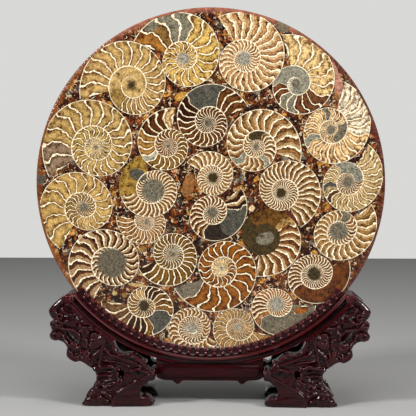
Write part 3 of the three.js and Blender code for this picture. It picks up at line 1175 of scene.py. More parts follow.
# The shells of the slab, in the order in which they claim their place.
SHELLS = (
    Ammonite("rim_01", "gold", Coil(-67.5, 83.5, 195, 1, (46.5, 39.5, 30.5, 26.5, 20.5)),
             ShellFinish(
        Fill.TAN, Core(5, Fill.DARK_OLIVE, 2.6), (Stretch(0, 17.5, *THIN),
        Stretch(245, 13, *MEDIUM), Stretch(318, 18, 0.008, 0.3)), (Patch(290, 360, Fill.OLIVE),),
        inner=Fill.YELLOW, tone=(0.8, 0.82, 0.9, 1), mottle=1.1)),
    Ammonite("rim_02", "tan", Coil(-98.5, 30.5, 212, 1, (48.5, 44, 34.5, 27.5, 22)), ShellFinish(
        Fill.TAN, Core(2, Fill.GREY), septa(19, THIN), (Patch(0, 45, Fill.MAUVE),), inner=Fill.GOLD,
        tone=(0.74, 0.78, 0.82, 1), mottle=1.1)),
    Ammonite("rim_03", "gold", Coil(-109, -21.5, 240, 1, (42, 37, 27.5, 24, 18)), ShellFinish(
        Fill.YELLOW, Core(4, Fill.GREY), (Stretch(0, 22, *FINE), Stretch(360, 18, *THIN)),
        inner=Fill.OLIVE, tone=(0.8, 0.77, 0.7, 1), mottle=0.9)),
    Ammonite("rim_04", "brown", Coil(-84.5, -69.5, 243, 1, (40, 37, 26, 23, 19)), ShellFinish(
        Fill.BROWN, Core(12.9, Fill.MUD), septa(16.5, BROAD), tone=(0.27, 0.18, 0.1, 1),
        mottle=1.5)),
    Ammonite("rim_05", "gold", Coil(-22.5, 106, 163, 1, (46.5, 38.5, 29, 23, 17.5)), ShellFinish(
        Fill.GOLD, Core(5, Fill.PALE_GREY), septa(21.5, THIN), (Patch(0, 20, Fill.AMBER),
        Patch(20, 41, Fill.UMBER), Patch(41, 84, Fill.GREY)),
        (Spot(-27.5, 28, 7, 4, 30, Fill.GREY),), tone=(0.92, 0.92, 0.92, 1), mottle=1.3)),
    Ammonite("rim_06", "tan", Coil(29, 106, 122, 1, (42.5, 37, 31, 23.5, 17.5)), ShellFinish(
        Fill.PINK_BROWN, Core(6, Fill.PALE_GREY), septa(14.5, THICK), tone=(1, 1.1, 1.25, 1),
        mottle=1.5)),
    Ammonite("rim_07", "gold", Coil(73.5, 84.5, 106, 1, (44, 34.5, 27.5, 21, 16.5)), ShellFinish(
        Fill.BEIGE, Core(4.5, Fill.GREY), septa(22, THIN), (Patch(135, 165, Fill.RED_BROWN),
        Patch(165, 187, Fill.GREY), Patch(187, 205, Fill.RED_BROWN), Patch(205, 245, Fill.GREY),
        Patch(245, 288, Fill.RED_BROWN), Patch(288, 600, Fill.SILT),
        Patch(600, 1000, Fill.PALE_GREY)), inner=Fill.MUD, mottle=1.4)),
    # This shell's tone lifts its pale fill further towards grey-white: partly its own colour,
    # partly a painted reflection of a bright area over the upper right.
    Ammonite("rim_08", "tan", Coil(103.5, 45.5, 74, 1, (42.5, 32.5, 29, 22.5, 18)), ShellFinish(
        Fill.PINK_BROWN, Core(4, Fill.GREY), septa(17, MEDIUM), (Patch(0, 90, Fill.ROSE),
        Patch(218, 235, Fill.SILT), Patch(315, 342, Fill.MUD), Patch(415, 510, Fill.MUD)),
        tone=(1.4, 1.9, 2.5, 1), mottle=1.5)),
    Ammonite("rim_09", "tan", Coil(118, 0.5, 62, 1, (37, 27.5, 25, 20, 16.5)), ShellFinish(
        Fill.BEIGE, Core(5, Fill.GREY), septa(15, MEDIUM), (Patch(200, 215, Fill.RED_BROWN),
        Patch(218, 238, Fill.SLATE), Patch(305, 425, Fill.SILT)), inner=Fill.PINK_BROWN, bend=1.2,
        wander=0.9, tone=(0.72, 0.74, 0.76, 1))),
    Ammonite("rim_10", "tan", Coil(110.5, -41.5, 40, 1, (36.5, 27, 24, 18.5, 17.5)), ShellFinish(
        Fill.TAN, Core(8, Fill.GREY), septa(16, THICK), (Patch(318, 350, Fill.MUD),
        Patch(398, 424, Fill.DARK_BROWN)), inner=Fill.PINK_BROWN, tone=(0.52, 0.45, 0.34, 1),
        mottle=1.5)),
    Ammonite("rim_11", "brown", Coil(89.5, -78.5, 22, 1, (32.5, 26.5, 24, 17.5, 16.5)), ShellFinish(
        Fill.PINK_BROWN, Core(6, Fill.DARK_OLIVE), (Stretch(0, 15, 0.008, 0.2),
        Stretch(165, 11, *THICK)), (Patch(0, 165, Fill.AMBER),), tone=(0.33, 0.21, 0.09, 1),
        mottle=1.5)),
    Ammonite("rim_12", "tan", Coil(57.5, -104.5, 358, 1, (34, 27.5, 21.5, 13.5, 13.5)), ShellFinish(
        Fill.PINK_BROWN, Core(6.5, Fill.PALE_GREY), (Stretch(0, 26, 0.2, 0.3),
        Stretch(140, 13, *THICK)), (Patch(0, 140, Fill.MUD), Patch(145, 200, Fill.RED_BROWN)),
        (Spot(21, -5, 6.5, 3, 20, Fill.ORANGE),), tone=(0.78, 0.64, 0.48, 1))),
    Ammonite("rim_13", "gold", Coil(24, -124.5, 345, 1, (29.5, 24, 21, 15.5, 14)), ShellFinish(
        Fill.YELLOW, Core(2.5, Fill.PALE_GREY), septa(14, FINE), inner=Fill.GOLD,
        tone=(0.55, 0.45, 0.38, 1))),
    Ammonite("rim_14", "tan", Coil(-15.5, -125.5, 330, 1, (26, 22.5, 19.5, 17, 15.5)), ShellFinish(
        Fill.PINK_BROWN, Core(4.5, Fill.PALE_GREY), septa(14, THICK), bend=1.2, wander=0.8,
        tone=(0.46, 0.36, 0.2, 1), mottle=1.5)),
    Ammonite("rim_15", "gold", Coil(-57, -106.5, 174, -1, (38, 27.5, 26, 17.5, 14.5)), ShellFinish(
        Fill.TAN, Core(5, Fill.DARK_OLIVE), (Stretch(0, 17, *MEDIUM), Stretch(360, 17, *THIN)),
        (Patch(0, 45, Fill.MAUVE), Patch(45, 100, Fill.DARK_BROWN), Patch(100, 122, Fill.GOLD),
        Patch(122, 168, Fill.SLATE), Patch(218, 265, Fill.RED_BROWN), Patch(280, 330, Fill.CREAM)),
        inner=Fill.GOLD, tone=(0.41, 0.29, 0.13, 1), mottle=1.5)),
    Ammonite("inner_16", "brown", Coil(-33, -61.5, 204, -1, (32, 26.5, 20.5, 17.5, 15.5)),
             ShellFinish(
        Fill.OLIVE, Core(3, Fill.GREY), septa(14.5, MEDIUM), (Patch(0, 12, Fill.DARK_BROWN),
        Patch(520, 585, Fill.GREY)), bend=0.7, tone=(0.46, 0.36, 0.2, 1))),
    Ammonite("inner_17", "gold", Coil(10, -74, 203, -1, (45, 35, 28.5, 22.5, 19.5)), ShellFinish(
        Fill.ORANGE, Core(2, Fill.PALE_GREY), septa(20.5, THIN), (Patch(0, 20, Fill.MUD),
        Patch(560, 1600, Fill.CREAM)), (Spot(-23, -6.5, 7, 5, 30, Fill.DARK_BROWN),),
        tone=(0.62, 0.54, 0.3, 1), mottle=1.3)),
    Ammonite("inner_18", "brown", Coil(2, -26, 42, 1, (33.5, 26.5, 22.5, 16.5, 14)), ShellFinish(
        Fill.BROWN, Core(4.6, Fill.MUD), septa(17, THICK), (Patch(0, 35, Fill.DARK_BROWN),
        Patch(35, 100, Fill.SLATE), Patch(100, 150, Fill.BLACK)), tone=(0.38, 0.28, 0.16, 1),
        mottle=1.5)),
    Ammonite("inner_19", "tan", Coil(2.5, 4, 150, 1, (26.5, 21, 16, 15, 13)), ShellFinish(
        Fill.PINK_BROWN, Core(4.8, Fill.DARK_OLIVE), septa(14, THICK), tone=(0.68, 0.7, 0.62, 1),
        mottle=1.5)),
    Ammonite("inner_20", "brown", Coil(-1.5, 51, 22, -1, (37.5, 32.5, 25, 19, 16)), ShellFinish(
        Fill.BROWN, Core(3.5, Fill.MUD), septa(15.5, MEDIUM), (Patch(0, 45, Fill.BROWN),
        Patch(48, 116, Fill.SLATE), Patch(116, 156, Fill.DARK_BROWN)), tone=(0.36, 0.28, 0.19, 1),
        mottle=1.5)),
    Ammonite("inner_21", "tan", Coil(-35.5, 31, 80, -1, (34, 27.5, 21, 17, 15.5)), ShellFinish(
        Fill.OLIVE, Core(2, Fill.GREY), septa(17.5, MEDIUM), (Patch(0, 12, Fill.CREAM),
        Patch(12, 75, Fill.RED_BROWN), Patch(75, 120, Fill.TAN), Patch(120, 145, Fill.PALE_GREY)),
        inner=Fill.AMBER, tone=(0.6, 0.5, 0.34, 1))),
    Ammonite("inner_22", "tan", Coil(39.5, 30.5, 342, -1, (40.5, 34, 26.5, 22, 18)), ShellFinish(
        Fill.PINK_BROWN, Core(3, Fill.GREY), septa(17.5, THICK), (Patch(225, 243, Fill.SILT),
        Patch(315, 340, Fill.SILT), Patch(435, 505, Fill.DARK_OLIVE)), tone=(0.54, 0.52, 0.42, 1),
        mottle=1.5)),
    Ammonite("inner_23", "tan", Coil(61, -9, 300, -1, (34.5, 33.5, 24.5, 16.5, 15)), ShellFinish(
        Fill.PINK_BROWN, Core(4.6, Fill.DARK_OLIVE), septa(11.5, THICK), bend=1.2,
        tone=(0.46, 0.44, 0.34, 1), mottle=1.5)),
    Ammonite("inner_24", "brown", Coil(44.5, -46, 262, -1, (35.5, 34.5, 23.5, 17.5, 16.5)),
             ShellFinish(
        Fill.BROWN, Core(2, Fill.DARK_OLIVE), (Stretch(0, 15, *THICK), Stretch(120, 17, 0, 0.3)),
        (Patch(115, 140, Fill.BEIGE), Patch(140, 215, Fill.UMBER),
        Patch(215, 360, Fill.DARK_OLIVE)), (Spot(3, -2, 8, 5.5, 15, Fill.GREY),),
        inner=Fill.DARK_OLIVE, tone=(0.52, 0.42, 0.28, 1), mottle=1.5)),
    Ammonite("inner_25", "tan", Coil(-49, -6.5, 105, -1, (33, 28.5, 23, 20.5, 16.5)), ShellFinish(
        Fill.PINK_BROWN, Core(10.2, Fill.GREY), (Stretch(0, 30, 0, 0.3), Stretch(90, 11.5, *THICK)),
        (Patch(0, 90, Fill.GOLD),), (Spot(-13, 13, 8, 5, -20, Fill.SLATE),),
        tone=(0.5, 0.46, 0.32, 1), mottle=1.5)),
    Ammonite("inner_26", "tan", Coil(-54.5, -34, 168, -1, (27.5, 19.5, 17, 13, 11)), ShellFinish(
        Fill.PINK_BROWN, Core(2.5, Fill.GREY), septa(13, MEDIUM), bend=1.2, wander=0.6,
        tone=(0.66, 0.66, 0.56, 1), mottle=1.5)),
)


# ---------------------------------------------------------------- the matrix
@dataclass(frozen=True)
class MatrixFinish:
    """Dark red-brown stone full of shell scraps, clearer and redder at the rim, with painted shade
    on the rim's right and a painted pink highlight along its top.

    Each kind of scrap has its part of the cell colour, and where it starts and is full.
    """

    deep: Colour = (0.016, 0.0045, 0.0025, 1.0)
    brown: Colour = (0.1, 0.024, 0.007, 1.0)
    rust: Colour = (0.26, 0.075, 0.012, 1.0)
    cream: Colour = (0.62, 0.48, 0.3, 1.0)
    scraps: tuple[tuple[int, float, float, Colour], ...] = (
        (0, 0.88, 0.91, (0.42, 0.19, 0.03, 1.0)),
        (1, 0.93, 0.96, (0.13, 0.11, 0.085, 1.0)),
        (2, 0.7, 0.74, deep),
    )
    scrap_share: float = 0.8
    scrap_scale: float = 0.22
    ripple: Point2 = (0.3, 2.5)
    tear: Point2 = (0.7, 1.0)
    ground: Cloud = (0.09, 0.38, 0.62, 3.0)
    patch: Point2 = (0.22, 4.0)
    rusty_from: Point2 = (0.5, 0.64)
    grain_noise: Point2 = (0.5, 3.0)
    grain: Point2 = (4.6, -1.45)
    least_grain: float = 0.12
    vein: Point2 = (0.075, 0.035)
    vein_share: float = 0.95
    vein_scale: float = 0.26
    vein_ripple: Point2 = (0.22, 3.0)
    vein_pieces: Cloud = (0.3, 0.55, 0.6, 1.0)
    fleck: Cloud = (0.7, 0.73, 0.77, 1.0)
    # The right rim colour is darkened with painted shade, and the top rim colour is a painted pink
    # highlight that rises over the heights given below.
    rim_left: Colour = (0.17, 0.048, 0.012, 1.0)
    rim_right_shade: Colour = (0.075, 0.015, 0.008, 1.0)
    rim_top_highlight: Colour = (0.3, 0.1, 0.06, 1.0)
    rim_across: Point2 = (-110.0, 40.0)
    highlight_up: Point2 = (SLAB_CENTRE_Z + 95, SLAB_CENTRE_Z + 142)
    rim_start: float = 143.5
    rim_share: float = 0.85
    rim_patch: Point2 = (2.4, -0.2)
    chip_share: float = 0.9
    chip_grain: Point2 = (0.5, 0.5)
    roughness: Point2 = (0.15, 0.12)
    chips: tuple[Spot, ...] = (
        Spot(-25.2, 74, 5.5, 3.2, 30, Fill.OCHRE), Spot(35.8, -22.2, 2.8, 2.2, 60, Fill.CREAM),
        Spot(69.8, -31.2, 8, 3, -52, Fill.WINE), Spot(-62.5, -88.7, 8.6, 1.5, -8, Fill.BEIGE),
        Spot(-58.2, -57, 2.4, 2.2, 0, Fill.OLIVE), Spot(-112, -46.6, 2, 1.8, 0, Fill.CREAM),
        Spot(-82.3, -95.6, 2.3, 2, 0, Fill.BEIGE), Spot(-73.7, -97.3, 2.3, 2, 0, Fill.OLIVE),
        Spot(-18.7, -2.8, 10, 5, 75, Fill.BROWN), Spot(-145.5, 2.3, 4.5, 3.5, 80, Fill.SLATE),
        # The long pink spot at the upper right is a painted reflection, the pink sheen of a bright
        # area on the polished face.
        Spot(62.4, 133.3, 6.5, 5, -25, Fill.MUD), Spot(110, 83, 20, 3.6, -74, Fill.PINK_SHEEN),
        Spot(141, 44.4, 10, 2.6, -71, Fill.WINE),
    )

    def material(self) -> bpy.types.Material:
        """Build the finish.

        Returns:
            The material.
        """
        material, graph, shader = new_material("polished_matrix")
        times, ramp, mix = graph.times, graph.ramp, graph.mix
        place = graph.place()
        wavy, torn = graph.shift(place, *self.ripple), graph.shift(place, *self.tear)

        # Cloudy ground with torn scraps in it, all of it grainy.
        patch = graph.noise(wavy, *self.patch)
        base = mix(graph.cloud(place, *self.ground), self.deep, self.brown)
        base = mix(ramp(patch, *self.rusty_from), base, self.rust)
        picks = graph.parts("Color", graph.cells(torn, self.scrap_scale, "F1", "Color"))
        for part, low, high, colour in self.scraps:
            base = mix(times(ramp(picks[part], low, high), self.scrap_share), base, colour)
        grain = graph.line(graph.noise(place, *self.grain_noise), *self.grain)
        base = graph.scaled(base, graph.math("MAXIMUM", grain, self.least_grain))

        # Broken pale veins and flecks of shell.
        edge = graph.cells(graph.shift(place, *self.vein_ripple), self.vein_scale,
                           "DISTANCE_TO_EDGE", "Distance")
        vein = times(ramp(edge, *self.vein), graph.cloud(place, *self.vein_pieces))
        base = mix(times(vein, self.vein_share), base, self.cream)
        fleck = graph.cloud(place, *self.fleck)
        base = mix(times(fleck, self.scrap_share), base, self.cream)

        # The rim is clearer stone, amber on the left and wine red on the right, where painted shade
        # also darkens it; the pink along the top is a painted highlight.
        across, _, up = graph.parts("XYZ", wavy)
        rim = mix(ramp(across, *self.rim_across), self.rim_left, self.rim_right_shade)
        rim = mix(ramp(up, *self.highlight_up), rim, self.rim_top_highlight)
        rim = graph.scaled(rim, graph.line(patch, *self.rim_patch))
        out = graph.vector("DISTANCE", graph.vector("MULTIPLY", wavy, (1, 0, 1)),
                           (0, 0, SLAB_CENTRE_Z))
        rim_band = ramp(out, self.rim_start, SLAB_RADIUS - 2)
        base = mix(times(rim_band, self.rim_share), base, rim)
        for chip in self.chips:
            inside = chip.inside(graph, torn, 0.0, SLAB_CENTRE_Z)
            shown = graph.scaled(chip.fill.value[:3], graph.line(grain, *self.chip_grain))
            base = mix(times(inside, self.chip_share), base, shown)
        Polish().lay(graph, shader, base, graph.line(patch, *self.roughness))
        return material


@dataclass
class MatrixSlab:
    """The slab that holds the shells."""

    bevel: float = 1.6

    def build(self, tools: Iterable[Piece], bound: Piece) -> Piece:
        """Turn the disc, round its rims, and cut the shells' pockets.

        Args:
            tools: The shells' helper prisms.
            bound: The disc that no pocket leaves.

        Returns:
            The finished mesh.
        """
        half = SLAB_THICKNESS / 2
        piece = disc("matrix_slab_face", (0, SLAB_CENTRE_Z), SLAB_RADIUS, -half, half)
        edit(piece)
        bpy.ops.mesh.select_all(action="DESELECT")
        leave_edit()
        for edge in piece.data.edges:
            a, b = (piece.data.vertices[i].co for i in edge.vertices)
            edge.select = abs(a.y - b.y) < MM / 2
        bpy.ops.object.mode_set(mode="EDIT")
        bpy.ops.mesh.bevel(offset=self.bevel * MM, segments=3, affect="EDGES")
        leave_edit()
        for tool in tools:
            trimmed = copy_of(tool, "trimmed_pocket")
            cut(trimmed, bound, "INTERSECT")
            cut(piece, trimmed)
            remove(trimmed)
        return piece


# ---------------------------------------------------------------- the stand
@dataclass(frozen=True)
class LacquerFinish:
    """Dark rosewood under gloss lacquer, redder and glossier on raised, convex edges."""

    name: str = "rosewood_lacquer"
    deep: Colour = (0.009, 0.001, 0.0015, 1.0)
    red: Colour = (0.024, 0.002, 0.0032, 1.0)
    raised_red: Colour = (0.1, 0.009, 0.011, 1.0)
    raised_from: Point2 = (0.51, 0.6)
    raised_polish: float = 0.7
    along_grain: Point3 = (0.05, 0.3, 0.35)
    grain_noise: Point3 = (1.0, 4.0, 0.5)
    grain_from: Point2 = (0.3, 0.7)
    haze: Point2 = (0.25, 3.0)
    roughness: Point2 = (0.1, 0.07)
    shine: float = 0.2
    coat: float = 0.85
    least_coat: float = 0.12
    coat_roughness: float = 0.06

    def material(self) -> bpy.types.Material:
        """Build the finish.

        Returns:
            The material.
        """
        material, graph, shader = new_material(self.name)
        place = graph.place()
        grain = graph.noise(graph.vector("MULTIPLY", place, self.along_grain), *self.grain_noise)
        colour = graph.mix(graph.ramp(grain, *self.grain_from), self.deep, self.red)
        # Raised, convex edges turn redder and take more coat; flat and sunk parts keep the grain's
        # dark colour.
        raised = graph.node("NewGeometry").outputs["Pointiness"]
        raised = graph.ramp(raised, *self.raised_from)
        colour = graph.mix(raised, colour, self.raised_red)
        polish = graph.math("MAXIMUM", graph.attribute("polish", "Fac"),
                            graph.times(raised, self.raised_polish))
        graph.feed(shader, Base_Color=colour,
                   Roughness=graph.line(graph.noise(place, *self.haze), *self.roughness),
                   Specular_IOR_Level=self.shine, Coat_Roughness=self.coat_roughness,
                   Coat_Weight=graph.line(polish, self.coat, self.least_coat * self.coat))
        return material


def flowing(points: Loop, steps: int, closed: bool = False) -> np.ndarray:
    """Draw a smooth line through some points.

    Args:
        points: Corners in x and z.
        steps: Points drawn for each stretch between two corners.
        closed: Whether the line comes back to its first corner.

    Returns:
        The drawn points, one row each.
    """
    given = np.array(points, float)
    if closed:
        given = np.vstack([given[-1:], given, given[:2]])
    else:
        given = np.vstack([2 * given[0] - given[1], given, 2 * given[-1] - given[-2]])
    share = np.linspace(0, 1, steps, endpoint=False)[:, None]
    rows = []
    for a, b, c, d in zip(given, given[1:], given[2:], given[3:]):
        bend = (2 * a - 5 * b + 4 * c - d) * share ** 2 + (3 * b - a - 3 * c + d) * share ** 3
        rows.append(b + 0.5 * ((c - a) * share + bend))
    if not closed:
        rows.append(given[-2:-1])
    return np.vstack(rows)


def drawn_in(path: np.ndarray, outline: np.ndarray, reach: float) -> np.ndarray:
    """Move the points of a line that lie too near an outline's edge further in.

    Args:
        path: Points in x and z.
        outline: The closed outline, clockwise.
        reach: How far inside the outline they have to be.

    Returns:
        The moved points.
    """
    along = np.roll(outline, -1, 0) - outline
    length = np.linalg.norm(along, axis=1)
    inward = np.stack([along[:, 1], -along[:, 0]], 1) / length[:, None]
    moved = path.copy()
    for i, point in enumerate(path):
        share = np.clip(((point - outline) * along).sum(1) / length ** 2, 0, 1)
        foot = outline + share[:, None] * along
        away = np.linalg.norm(point - foot, axis=1)
        nearest = int(away.argmin())
        depth = math.copysign(away[nearest], (point - foot[nearest]) @ inward[nearest])
        if depth < reach:
            moved[i] = point + inward[nearest] * (reach - depth)
    return moved


TUBE_TAPER = (0.45, 0.8)


def tubes(name: str, lines: Iterable[tuple[np.ndarray, float, float]]) -> Piece:
    """Round bars with tapered ends that follow lines in x and z.

    Args:
        name: The new object's name.
        lines: For each bar its points, its y and its radius.

    Returns:
        All the bars as one mesh.
    """
    data = bpy.data.curves.new(name, "CURVE")
    data.dimensions = "3D"
    data.bevel_depth = MM
    data.bevel_resolution = 2
    data.use_fill_caps = True
    for path, y, radius in lines:
        spline = data.splines.new("POLY")
        spline.points.add(len(path) - 1)
        for i, (point, (x, z)) in enumerate(zip(spline.points, path)):
            point.co = (x * MM, y * MM, z * MM, 1)
            end = min(i, len(path) - 1 - i)
            point.radius = radius * (TUBE_TAPER[end] if end < len(TUBE_TAPER) else 1)
    take(placed(name, data))
    bpy.ops.object.convert(target="MESH")
    return named(name)


@dataclass(frozen=True)
class Ridge:
    """One raised line of carving: half width, height above the ground, and its path."""

    label: str
    radius: float
    lift: float
    points: tuple[Point2, ...]


@dataclass(frozen=True)
class Dome:
    """One rounded boss of carving: centre, half width and height above the ground."""

    label: str
    x: float
    z: float
    radius: float
    lift: float


@dataclass
class StandRail:
    """Crescent rail with a groove for the slab, a moulded lip each side, and volutes.

    Teeth and beads stand at a radius out from the lip's and a distance out from the groove.
    """

    bead_count: int = 34
    bead_margin: float = 1.5
    tooth: Point3 = (4.6, 2.7, 2.8)
    tooth_at: Point2 = (1.6, 4.5)
    tooth_round: float = 0.8
    tooth_polish: float = 0.5
    bead_radius: float = 1.6
    bead_at: Point2 = (4.7, 4.6)
    bead_polish: float = 1.0
    steps: int = 110
    half_groove: float = SLAB_THICKNESS / 2 + GAP
    scroll_sides: int = 40
    scroll_inset: Point2 = (0.7, 0.9)
    spiral_inset: Point2 = (0.75, 0.8)
    spiral_steps: int = 46
    spiral_turns: float = 2.1
    spiral_narrows: float = 0.8
    spiral_radius: float = 0.72
    lip: Loop = (
        (0.0, 0.0), (0.0, 3.0), (0.4, 3.4), (3.0, 3.5), (3.3, 4.1), (5.9, 4.2), (6.3, 4.5),
        (6.7, 4.9), (6.9, 7.8), (7.1, 9.2), (7.6, 10.5), (8.3, 11.4), (9.0, 11.65), (9.7, 11.3),
        (10.2, 10.4), (10.5, 9.3), (11.1, 8.5), (12.1, 8.0), (13.4, 7.9), (14.4, 8.2),
        (15.0, 8.9),
    )

    def section(self) -> list[Point2]:
        """Lay out the rail's section.

        Returns:
            Radius and y of each corner of one closed loop.
        """
        side = [(SLAB_RADIUS + GAP, self.half_groove)]
        side += [(LIP_RADIUS + out, self.half_groove + up) for out, up in self.lip]
        return [(radius, -y) for radius, y in side] + side[::-1]

    def arc(self) -> Piece:
        """Spin the section round the slab and plane its middle flat.

        Returns:
            The arc.
        """
        loop = [(on_arc(radius, -RAIL_HALF_ANGLE), y) for radius, y in self.section()]
        piece = filled_loop("rail_arc", [(x, y, z) for (x, z), y in loop])
        edit(piece)
        bpy.ops.mesh.spin(steps=self.steps, angle=2 * math.radians(RAIL_HALF_ANGLE),
                          center=(0, 0, SLAB_CENTRE_Z * MM), axis=(0, 1, 0))
        bpy.ops.mesh.select_all(action="SELECT")
        bpy.ops.mesh.bisect(plane_co=(0, 0, RAIL_FLAT_Z * MM), plane_no=(0, 0, 1),
                            use_fill=True, clear_inner=True)
        leave_edit()
        clean(piece)
        smooth(piece, 30)
        return piece

    def around(self, piece: Piece, at: Point2, polish: float) -> list[Piece]:
        """Copy a small shape at equal steps along both lips.

        Args:
            piece: The shape, made at the origin; it is used up.
            at: Where its copies lie: out from the lip's radius, and out from the groove.
            polish: How much more gloss it has than the rest of the rail.

        Returns:
            The copies.
        """
        smooth(piece, 60)
        shine = piece.data.attributes.new("polish", "FLOAT", "POINT")
        shine.data.foreach_set("value", [polish] * len(piece.data.vertices))
        copies = []
        for i in range(self.bead_count):
            turn = (i + 0.5) / self.bead_count - 0.5
            turn *= 2 * RAIL_HALF_ANGLE - 2 * self.bead_margin
            x, z = on_arc(LIP_RADIUS + at[0], turn)
            for side in (-1, 1):
                copy = copy_of(piece, f"{piece.name}_{i}_{side}")
                copy.location = (x * MM, side * (self.half_groove + at[1]) * MM, z * MM)
                copy.rotation_euler = (0, -math.radians(turn), 0)
                copies.append(copy)
        remove(piece)
        return copies

    def volute(self, side: int) -> Piece:
        """Scroll at one end of the rail, with a spiral raised on both faces.

        Args:
            side: -1 for the left end, 1 for the right end.

        Returns:
            The scroll.
        """
        x, z = on_arc(SCROLL_ARC, side * RAIL_HALF_ANGLE)
        face = SCROLL_HALF_DEPTH - self.scroll_inset[1]
        body = disc("volute", (x, z), SCROLL_RADIUS - self.scroll_inset[0], -face, face,
                    self.scroll_sides)
        turns = np.linspace(0, 1, self.spiral_steps)
        bend = side * (math.radians(RAIL_HALF_ANGLE) + turns * self.spiral_turns * 2 * math.pi)
        reach = (SCROLL_RADIUS - self.spiral_inset[0]) * (1 - self.spiral_narrows * turns)
        path = np.stack([x + reach * np.sin(bend), z - reach * np.cos(bend)], 1)
        face = SCROLL_HALF_DEPTH - self.spiral_inset[1]
        spirals = tubes("spiral", [(path, y, self.spiral_radius) for y in (-face, face)])
        return join("volute", body, spirals)

    def build(self) -> Piece:
        """Make the rail.

        Returns:
            The finished mesh.
        """
        arc = self.arc()
        tooth = primitive("cube", "tooth", size=1)
        tooth.scale = [size * MM for size in self.tooth]
        settle(tooth)
        round_edges(tooth, self.tooth_round)
        bead = primitive("uv_sphere", "bead", segments=12, ring_count=8,
                         radius=self.bead_radius * MM)
        teeth = self.around(tooth, self.tooth_at, self.tooth_polish)
        beads = self.around(bead, self.bead_at, self.bead_polish)
        volutes = [self.volute(side) for side in (-1, 1)]
        piece = join("stand_rail_carved", arc, *volutes, *teeth, *beads)
        settle(piece)
        return piece


